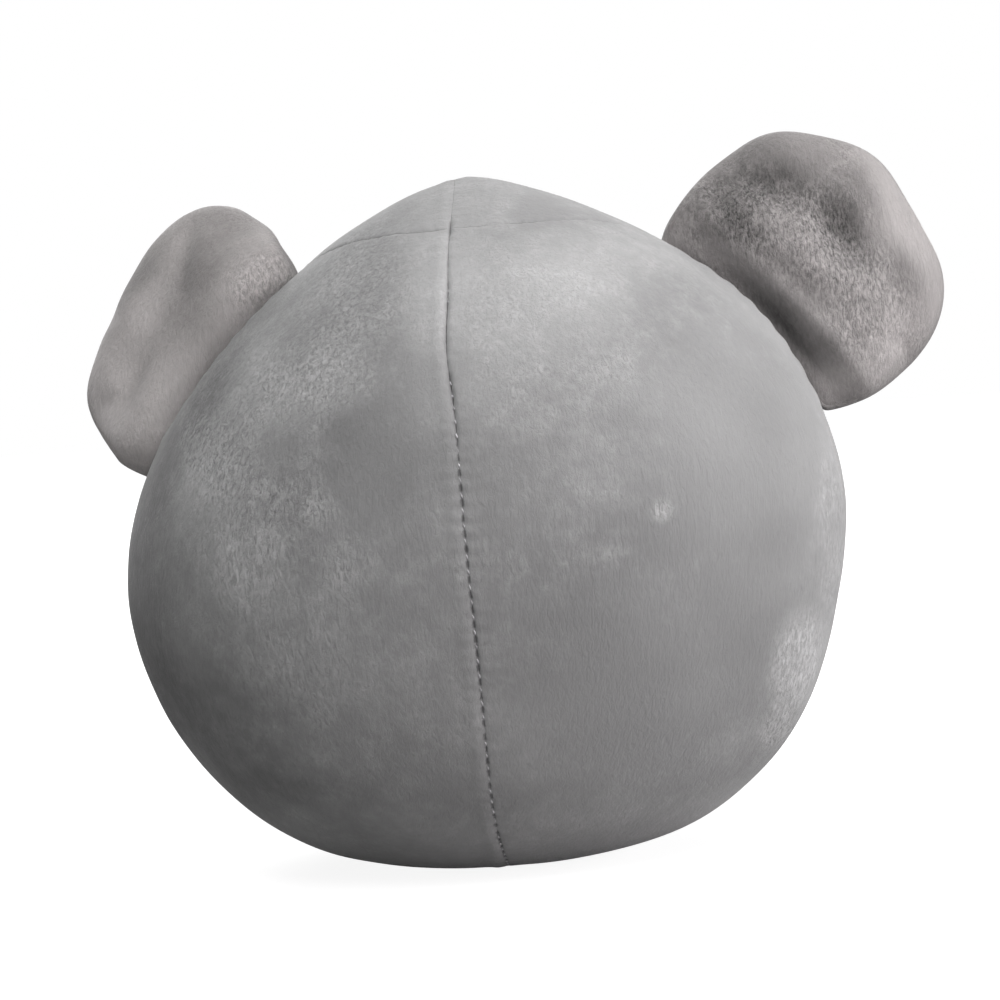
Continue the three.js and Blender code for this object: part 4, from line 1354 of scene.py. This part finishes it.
GATHER_FADE = 8


def ear_back(points, side):
    """One on the back layer of an ear, zero on its front layer."""
    x, y = points[:, 0], points[:, 1] - EAR_FULLEST
    share = np.hypot(x, y) / np.maximum(ear_reach(np.arctan2(y, x), side), 1)
    middle = EAR_CUP * share ** 2 * smooth(points[:, 1] / EAR_CUP_RISE)
    return smooth((middle - points[:, 2]) / EAR_RIM)


def press_dents(points, side):
    """Dents in the back layer, and lumps and gathers in both."""
    on_back = ear_back(points, side)
    depth = oval_marks(points[:, 0], points[:, 1], EAR_DENTS[side], DENT_EXPONENT)
    lumps = bumps(points, EAR_BUMPS)
    turn = 2 * math.pi * points[:, 0] / GATHER_PITCH + np.sin(points[:, 0] / GATHER_RHYTHM)
    top_end = -SIDES[side] * points[:, 0]
    gathers = GATHER_DEPTH * np.cos(turn)
    gathers *= np.exp(-np.maximum(points[:, 1], 0) / GATHER_FADE)
    gathers *= smooth((top_end - GATHER_START) / GATHER_FADE)
    free = smooth((points[:, 1] - EAR_BUMPS_RISE[0]) / EAR_BUMPS_RISE[1])
    moved = points.copy()
    moved[:, 2] += on_back * depth + (1 - 2 * on_back) * (lumps + gathers) * free
    return moved


print({side: len(dents) for side, dents in EAR_DENTS.items()}, "dents")

# %% [markdown]
# The ear is then turned out of the seam, and cut at the rim into its front and back layers. Its pile has
# marks of its own, of brushed pile and of painted light and shade, which are listed as those of the body.

# %% Finish the ears
EAR_MARKS = {  # along the root, height, half length, half width, turn in degrees, strength
    "left": (
        (0, 18, 40, 30, 0, -0.25),
        (-25, -4, 12, 8, 0, 0.5),
    ),
    "right": (
        (3, 16, 34, 13, 0, 0.35),
        (-8, 40, 25, 7, 16, -0.5),
        (24, 32, 10, 6, -30, -0.3),
        (-3, 0, 24, 4, 0, -0.5),
    ),
}
EAR_LEAN_AND_PAINTED_LIGHT = {  # as the marks, for painted light and shade, partly pile that leans to the light or away from it
    "left": (
        (-16, -7, 9, 5, 0, 0.7),
        (-1, 21, 8, 6, 0, 0.6),
        (0, 14, 55, 55, 0, 0.9),
        (8, 4, 36, 20, 0, 0.45),
        (-30, 20, 10, 14, 0, -0.5),
        (-13, 13, 15, 9, -45, -1.2),
        (-4, 35, 9, 7, 0, -0.9),
        (16, 9, 9, 3, -8, -0.5),
        (24, 19, 12, 12, 0, 1.4),
        (31, 8, 8, 8, 0, 0.6),
        (0, 24, 9, 9, 0, 0.4),
        (10, 36, 22, 7, -20, 0.5),
        (-14, -8, 12, 6, 0, 1.7),
        (2, -6, 14, 7, 0, 1.4),
        (20, -7, 10, 8, 0, 1.2),
    ),
    "right": (
        (-6, -2.5, 15, 2.8, 0, -0.8),
        (27, 12, 8, 9, 0, -0.5),
        (4, 23, 8, 6, 0, -0.15),
        (29, 11, 9, 11, 0, -0.7),
        (18, 6, 8, 5, 0, -1.0),
        (20, 22, 8, 6, -30, -0.9),
        (3, 26, 12, 7, 5, -1.1),
        (-8, 40, 25, 6, 16, 1.2),
        (-30, 22, 8, 14, 0, 1.2),
        (-20, 16, 12, 9, 0, 0.3),
        (5, 14, 10, 4, 0, 0.35),
        (0, 0.5, 12, 3, 0, -0.5),
        (-24, -4, 7, 6, 0, 1.2),
        (13, 2, 5, 3, 0, 0.3),
        (-18, 3, 6, 4, 0, -0.6),
        (-5, 32, 7, 5, 20, 0.9),
    ),
}
EAR_NAP = 0.4
EAR_NAP_BUMPS = ((0.12, 20, 13), (0.08, 8, 14))
EAR_LEAN_BUMPS = ((0.1, 24, 16), (0.2, 8, 18))
EAR_FABRIC = 1.4
EAR_SWEEP = {"left": math.radians(42), "right": math.radians(8)}
EAR_BEND = (-4.0, 6.0)  # heights between which the cloth turns out of the seam


def lay_ear(points, side):
    """From the ear's own frame into the toy's, turned out of the seam by its sweep."""
    pivot, rows = ear_frame(side)
    turn = EAR_SWEEP[side] * smooth((points[:, 1] - EAR_BEND[0]) / (EAR_BEND[1] - EAR_BEND[0]))
    outward = points[:, 1] * np.cos(turn) - points[:, 2] * np.sin(turn)
    forward = points[:, 1] * np.sin(turn) + points[:, 2] * np.cos(turn)
    return pivot + np.stack([points[:, 0], outward, forward], axis=1) @ rows


def stroke_ear(mesh, blown, side):
    """The pile of an ear, with marks on its back layer."""
    on_back = ear_back(blown, side)
    nap = EAR_NAP + bumps(blown, EAR_NAP_BUMPS)
    nap += on_back * oval_marks(blown[:, 0], blown[:, 1], EAR_MARKS[side], MARK_EXPONENT)
    # random tone of leaning pile, and on the back layer marks of painted light and shade: lighter at the left
    # ear's root, where the body shades it, and darker in the crevice at the right ear's root
    lean = bumps(blown, EAR_LEAN_BUMPS)
    lean += on_back * oval_marks(blown[:, 0], blown[:, 1], EAR_LEAN_AND_PAINTED_LIGHT[side], MARK_EXPONENT)
    store(mesh, nap=nap, lean=lean)


def blend_ear(piece, side):
    pivot, rows = ear_frame(side)
    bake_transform(piece)


for side, (flat, blown) in ears.items():
    write_points(flat.data, lay_ear(press_dents(blown, side), side) * MM)
    stroke_ear(flat.data, blown, side)
    for layer, name in ((FRONT_LAYER, "front"), (BACK_LAYER, "back")):
        bm = bmesh.new()
        bm.from_mesh(flat.data)
        bmesh.ops.delete(bm, geom=[f for f in bm.faces if f.material_index != layer], context="FACES")
        for face in bm.faces:
            face.material_index = 0
        half = make_piece(f"plush_{side}_ear_{name}", bm)
        half.data.materials.append(shaded_ear_plush)
        finer = half.modifiers.new("finer", "SUBSURF")
        finer.levels = 1
        finer.render_levels = 1
        add_wall(half, EAR_FABRIC)
        blend_ear(half, side)
        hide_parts(f"{side}_ear_{name}")
        print(half.name, len(half.data.polygons), "squares before the finer division")
    bpy.data.objects.remove(flat)

# %% [markdown]
# ## Trunk
# The trunk is a bent tube that tapers to a rounded tip and starts in a ball. It is sewn from a left and a
# right half. The profile is spun through half a turn for each half, in a straight line first, and every
# ring is then carried onto the bent middle line. Soft rings of creases lie on its inner side, where the
# cloth is pushed together.

# %% Trunk profile
TRUNK_NECK = 14.5
TRUNK_TIP = 11.0
TRUNK_LENGTH = 50.0
TRUNK_TIP_ROUND = 9.0
SPIN_WELD = 1e-4


def trunk_profile(inset, parts):
    """Radius and distance along the trunk, from the back of the ball to the tip."""
    ball, neck, tip = TRUNK_BALL - inset, TRUNK_NECK - inset, TRUNK_TIP - inset
    end, tip_round = TRUNK_LENGTH - inset, TRUNK_TIP_ROUND - inset
    neck_turn = math.pi - math.asin(neck / ball)
    rows = []
    for step in range(parts + 1):
        turn = neck_turn * step / parts
        rows.append((ball * math.sin(turn), -ball * math.cos(turn)))
    neck_start = rows[-1][1]
    for step in range(1, parts + 1):
        share = step / parts
        rows.append((neck + share * (tip - neck), neck_start + share * (end - tip_round - neck_start)))
    for step in range(1, parts + 1):
        turn = math.pi / 2 * step / parts
        rows.append((tip * math.cos(turn), end - tip_round + tip_round * math.sin(turn)))
    return rows


def spun(profile, turn, steps):
    """A profile of radii and distances, spun about the Z axis from the Y side towards the X side."""
    bm = bmesh.new()
    corners = [bm.verts.new((0, radius, distance)) for radius, distance in profile]
    edges = [bm.edges.new(pair) for pair in zip(corners, corners[1:])]
    full = math.isclose(abs(turn), 2 * math.pi)
    bmesh.ops.spin(bm, geom=corners + edges, cent=(0, 0, 0), axis=(0, 0, -1), angle=turn, steps=steps,
                   use_merge=full)
    bmesh.ops.remove_doubles(bm, verts=bm.verts, dist=SPIN_WELD)
    bmesh.ops.recalc_face_normals(bm, faces=bm.faces)
    return bm


print("trunk", TRUNK_BALL + TRUNK_LENGTH, "mm along its middle line")

# %% [markdown]
# The straight halves are laid round the bend with their creases, their sunken seam and the lumps of the
# stuffing.

# %% Trunk halves
TRUNK_TILT = math.radians(8)
TRUNK_BEND = math.radians(40)
TRUNK_FABRIC = 1.6
TRUNK_RINGS = 22  # in each of the three parts of the profile
TRUNK_STEPS = 40
TRUNK_BUMPS = ((0.3, 14, 31),)
TRUNK_CREASES = 0.45
TRUNK_CREASE_PITCH = 7.5
CREASE_START = 6  # stretch over which the creases begin after the neck
CREASE_END = (4, 8)  # distance from the tip at which they end, and the stretch before it
TRUNK_SEAM_DEPTH = 0.9
TRUNK_SEAM_ROLL = 0.9
TRUNK_SEAM_FADE = 3  # radius below which the seam is smooth, and the stretch over which it deepens
TRUNK_LEAST_RADIUS = 2  # nearer the middle line, the cloth moves in proportion


def bend_trunk(points):
    """From a straight trunk along Z to the bent one, with its creases, seams and lumps."""
    distance = points[:, 2]
    turn = TRUNK_TILT + TRUNK_BEND * np.maximum(0, distance) / TRUNK_LENGTH
    rate = TRUNK_BEND / TRUNK_LENGTH
    straight = np.minimum(0, distance)
    forward = straight * math.cos(TRUNK_TILT) + (np.sin(turn) - math.sin(TRUNK_TILT)) / rate
    down = straight * math.sin(TRUNK_TILT) + (math.cos(TRUNK_TILT) - np.cos(turn)) / rate
    radius = np.hypot(points[:, 0], points[:, 1])
    free = smooth((distance - TRUNK_NECK) / CREASE_START)
    free = free * smooth((TRUNK_LENGTH - CREASE_END[0] - distance) / CREASE_END[1])
    inner = np.clip(-points[:, 1] / np.maximum(radius, 1e-6), 0, 1)
    ripple = 0.5 + 0.5 * np.cos(2 * math.pi * distance / TRUNK_CREASE_PITCH)
    crease = -TRUNK_CREASES * inner * ripple * free
    seam = -TRUNK_SEAM_DEPTH * np.exp(-(np.abs(points[:, 0]) / TRUNK_SEAM_ROLL) ** SEAM_ROLL_EXPONENT)
    seam = seam * smooth((radius - TRUNK_SEAM_FADE) / TRUNK_SEAM_FADE)
    lumps = bumps(points, TRUNK_BUMPS)
    grown = 1 + (crease + seam + lumps) / np.maximum(radius, TRUNK_LEAST_RADIUS)
    aside, above = points[:, 0] * grown, points[:, 1] * grown
    places = [aside, -forward - above * np.sin(turn), -down + above * np.cos(turn)]
    return trunk_pivot + np.stack(places, axis=1)


def blend_trunk(piece):
    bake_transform(piece)


for side, sign in SIDES.items():
    half = make_piece(f"plush_trunk_{side}", spun(trunk_profile(0, TRUNK_RINGS), sign * math.pi, TRUNK_STEPS),
                      bend_trunk)
    half.data.materials.append(body_plush)
    stroke_body(half.data)
    add_wall(half, TRUNK_FABRIC)
    blend_trunk(half)
    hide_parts(f"trunk_{side}")
    print(half.name, len(half.data.polygons), "faces")

# %% [markdown]
# ## Filling
# The filling is loose polyester fibre. It is not seen, but a cut through the toy would show it, so it has
# its own soft lumpy form inside the cloth. A plain ball would do for the body, but the filling makes room
# for the eye washers and for the trunk's socket.

# %% Fibre finish
FIBRE_TUFT_MM = 6.0


def fibre_finish():
    """Carded polyester: white, matt and cloudy."""
    material, tree, place = start_material("carded_polyester_fibre")
    clouds = add_node(tree, "ShaderNodeTexNoise", {
        "Vector": place,
        "Scale": 1 / (FIBRE_TUFT_MM * MM),
        "Detail": 5,
        "Roughness": 0.7,
        "Distortion": 1.5,
    }).outputs["Fac"]
    colour = add_node(tree, "ShaderNodeMix", {
        FACTOR: clouds,
        COLOUR_A: hex_colour("d9d6d0"),
        COLOUR_B: hex_colour("f6f4ef"),
    }, data_type="RGBA").outputs[MIXED_COLOUR]
    bump = add_node(tree, "ShaderNodeBump", {
        "Height": clouds,
        "Strength": 0.8,
        "Distance": 1 * MM,
    }).outputs[0]
    fluff = add_node(tree, "ShaderNodeBsdfPrincipled", {
        "Base Color": colour,
        "Roughness": 1.0,
        "IOR": 1.5,
        "Specular IOR Level": 0.1,
        "Sheen Weight": 0.3,
        "Normal": bump,
    }).outputs[0]
    add_node(tree, "ShaderNodeOutputMaterial", {"Surface": fluff})
    return material


fibre = fibre_finish()
print("finish", fibre.name)

# %% [markdown]
# The body's filling is a cube blown up to the form, a few millimetres inside the cloth. Wherever a point
# would lie in the wall of the socket, it draws back into the toy until it is clear.

# %% Body filling
FILLING_CUTS = 47
FILLING_INSET = 3.6
FILLING_BUMPS = ((0.5, 14, 41),)
FILLING_FLOOR = 2.4  # above the ground
EYE_ASIDE = 38
EYE_RISE = 13
EYE_ROOM = 8.0
EYE_ROOM_REACH = 16
EYE_ROOM_EASE = 6
SOCKET_ROOM = 1.5
RETREAT_SHARE = 0.2  # of the way to the trunk, towards which the filling draws back
RETREAT_STEP = 0.5
RETREAT_STEPS = 60
eye_toward = {}
for side, sign in SIDES.items():
    toward = np.array([sign * EYE_ASIDE, -BODY_DEPTH / 2, EYE_RISE])
    eye_toward[side] = toward / np.linalg.norm(toward)


def stuffed_ball(cube_points):
    """The body's filling, drawn back behind the eyes and the trunk's socket."""
    ball = cube_to_ball(cube_points)
    radius = form_radius(ball)
    inset = FILLING_INSET + bumps(ball * radius[:, None], FILLING_BUMPS)
    for toward in eye_toward.values():
        beside = radius * np.arccos(np.clip(ball @ toward, -1, 1))
        inset = inset + EYE_ROOM * smooth((EYE_ROOM_REACH - beside) / EYE_ROOM_EASE)
    points = body_centre + ball * (radius - inset)[:, None]
    room = TRUNK_BALL + SOCKET_CLEARANCE + PLUSH_THICKNESS + SOCKET_ROOM
    inward = body_centre + (trunk_pivot - body_centre) * RETREAT_SHARE - points
    inward /= np.linalg.norm(inward, axis=1, keepdims=True)
    for _ in range(RETREAT_STEPS):
        in_the_way = np.linalg.norm(points - trunk_pivot, axis=1) < room
        points = np.where(in_the_way[:, None], points + inward * RETREAT_STEP, points)
    points[:, 2] = np.maximum(points[:, 2], FILLING_FLOOR)
    return points


bm = bmesh.new()
bmesh.ops.create_cube(bm, size=2)
bmesh.ops.subdivide_edges(bm, edges=bm.edges[:], cuts=FILLING_CUTS, use_grid_fill=True)
filling = make_piece("fibre_body_filling", bm, stuffed_ball)
filling.data.materials.append(fibre)
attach(filling, "body")
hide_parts("body_filling")
print(filling.name, len(filling.data.polygons), "faces")

# %% [markdown]
# The trunk's filling is the trunk itself, spun again with an inset. The wadding of an ear is a smaller
# pillow that follows the dents of the ear around it. Its two layers are joined by a strip round the edge.

# %% Trunk filling and ear wadding
TRUNK_FILL_INSET = 2.2
TRUNK_FILL_RINGS = 12
TRUNK_FILL_STEPS = 36
WADDING_GRID = 18
WADDING_SHARE = 0.6
WADDING_INSET = EAR_FABRIC + 2.4
WADDING_EDGE = 0.3

trunk_fill_profile = trunk_profile(TRUNK_FILL_INSET, TRUNK_FILL_RINGS)
trunk_core = spun(trunk_fill_profile, 2 * math.pi, TRUNK_FILL_STEPS)
trunk_fill = make_piece("fibre_trunk_filling", trunk_core, bend_trunk)
trunk_fill.data.materials.append(fibre)
blend_trunk(trunk_fill)
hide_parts("trunk_filling")


def stuffed_ear(grid_points, side):
    pillow = ear_pillow(grid_points, side, WADDING_SHARE, WADDING_INSET, WADDING_EDGE)
    return lay_ear(press_dents(pillow, side), side)


for side in SIDES:
    bm = two_layers(WADDING_GRID)
    bmesh.ops.bridge_loops(bm, edges=[edge for edge in bm.edges if edge.is_boundary])
    bmesh.ops.recalc_face_normals(bm, faces=bm.faces)
    for face in bm.faces:
        face.material_index = 0
    wadding = make_piece(f"fibre_{side}_ear_wadding", bm, lambda points: stuffed_ear(points, side))
    wadding.data.materials.append(fibre)
    blend_ear(wadding, side)
    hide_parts(f"{side}_ear_wadding")
    print(wadding.name, len(wadding.data.polygons), "faces")

# %% [markdown]
# ## Eyes
# Safety eyes are moulded of black plastic: a polished dome on a ribbed shank, which goes through the cloth
# and is gripped by a washer behind it. Both are turned shapes, so a profile is spun round its axis. The
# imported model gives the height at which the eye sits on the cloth.

# %% Plastic finish
def plastic_finish(name, dark, light, roughness, flow_mm):
    """Injection moulded plastic: even, with only faint flow marks in colour and gloss."""
    material, tree, place = start_material(name)
    flow = add_node(tree, "ShaderNodeTexNoise", {
        "Vector": place,
        "Scale": 1 / (flow_mm * MM),
        "Detail": 2,
    }).outputs["Fac"]
    colour = add_node(tree, "ShaderNodeMix", {
        FACTOR: flow,
        COLOUR_A: hex_colour(dark),
        COLOUR_B: hex_colour(light),
    }, data_type="RGBA").outputs[MIXED_COLOUR]
    gloss = add_node(tree, "ShaderNodeMath", {
        0: flow,
        1: 0.06,
        2: roughness,
    }, operation="MULTIPLY_ADD").outputs[0]
    bump = add_node(tree, "ShaderNodeBump", {
        "Height": flow,
        "Strength": 0.1,
        "Distance": 0.05 * MM,
    }).outputs[0]
    plastic = add_node(tree, "ShaderNodeBsdfPrincipled", {
        "Base Color": colour,
        "Roughness": gloss,
        "IOR": 1.5,
        "Normal": bump,
    }).outputs[0]
    add_node(tree, "ShaderNodeOutputMaterial", {"Surface": plastic})
    return material


eye_plastic = plastic_finish("polished_black_plastic", "08080a", "0e0e11", roughness=0.08, flow_mm=3.0)
washer_plastic = plastic_finish("moulded_white_plastic", "dedcd6", "ebe9e3", roughness=0.45, flow_mm=2.0)
print("finishes", eye_plastic.name, "and", washer_plastic.name)

# %% [markdown]
# The profiles run from the inside of the toy outwards. Ribs on the shank hold the washer, and the corners
# are broken as a mould leaves them.

# %% Eye and washer profiles
EYE_RADIUS = 7.0
EYE_HEIGHT = 5.5
EYE_RIM = 0.35  # height of the slanting rim under the dome
EYE_RIM_INSET = 0.5
DOME_STEPS = 16
SHANK_RADIUS = 2.0
SHANK_LENGTH = 10.0
SHANK_CHAMFER = (0.4, 0.6)  # across and along
SHANK_RIB = 0.25
RIB_PITCH = 0.75
RIB_COUNT = 11
WASHER_RADIUS = 8.0
WASHER_THICKNESS = 1.6
WASHER_GAP = 0.3
WASHER_BEVEL = 0.3


def dome_profile(seat):
    """Radius and height from the foot of the shank to the top of the dome."""
    foot = seat - SHANK_LENGTH
    first_rib = foot + SHANK_CHAMFER[1]
    profile = [(0, foot), (SHANK_RADIUS - SHANK_CHAMFER[0], foot), (SHANK_RADIUS, first_rib)]
    for rib in range(1, RIB_COUNT + 1):
        profile.append((SHANK_RADIUS - (SHANK_RIB if rib % 2 else 0), first_rib + rib * RIB_PITCH))
    profile.append((SHANK_RADIUS, seat))
    profile.append((EYE_RADIUS - EYE_RIM_INSET, seat))
    for step in range(DOME_STEPS + 1):
        turn = math.pi / 2 * step / DOME_STEPS
        height = seat + EYE_RIM + (EYE_HEIGHT - EYE_RIM) * math.sin(turn)
        profile.append((EYE_RADIUS * math.cos(turn), height))
    return profile


def washer_profile(near):
    """A flat ring with its corners broken, as a closed line."""
    far = near - WASHER_THICKNESS
    inner = SHANK_RADIUS + WASHER_GAP
    return [
        (inner, far + WASHER_BEVEL),
        (inner + WASHER_BEVEL, far),
        (WASHER_RADIUS - WASHER_BEVEL, far),
        (WASHER_RADIUS, far + WASHER_BEVEL),
        (WASHER_RADIUS, near - WASHER_BEVEL),
        (WASHER_RADIUS - WASHER_BEVEL, near),
        (inner + WASHER_BEVEL, near),
        (inner, near - WASHER_BEVEL),
        (inner, far + WASHER_BEVEL),
    ]


print(f"eyes {2 * EYE_RADIUS} mm wide, washers {2 * WASHER_RADIUS} mm")

# %% [markdown]
# Both eyes stand square on the form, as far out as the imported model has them, less the little by which
# the rim presses into the pile.

# %% Eyes and washers
EYE_SINK = 1.0  # the dome's rim presses into the pile
EYE_STEPS = 48


def onto_axis(origin, axis):
    """Turns a shape made round Z so that it stands on the axis."""
    turn = Vector((0, 0, 1)).rotation_difference(Vector(axis)).to_matrix()
    return lambda points: origin + points @ np.array(turn).T


def node_top(node, origin, axis):
    """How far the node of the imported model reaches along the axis."""
    return ((read_points(nodes[node].data) / MM - origin) @ axis).max()


for side in SIDES:
    toward = eye_toward[side][None]
    origin, axis = form_point(toward)[0], form_normal(toward)[0]
    place = onto_axis(origin - EYE_SINK * axis, axis)
    eye_top = node_top(f"{side}_eye", origin, axis)
    dome = spun(dome_profile(eye_top - EYE_HEIGHT), 2 * math.pi, EYE_STEPS)
    eye = make_piece(f"safety_eye_{side}", dome, place)
    eye.data.materials.append(eye_plastic)
    ring = spun(washer_profile(node_top(f"{side}_eye_washer", origin, axis)), 2 * math.pi, EYE_STEPS)
    washer = make_piece(f"eye_washer_{side}", ring, place)
    washer.data.materials.append(washer_plastic)
    for piece, node, slot in (
        (eye, f"{side}_eye", "eye_plastic"),
        (washer, f"{side}_eye_washer", "washer_plastic"),
    ):
        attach(piece, "body")
        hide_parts(node)
    print(eye.name, "stands", round(float(eye_top - EYE_SINK), 1), "mm above the form")
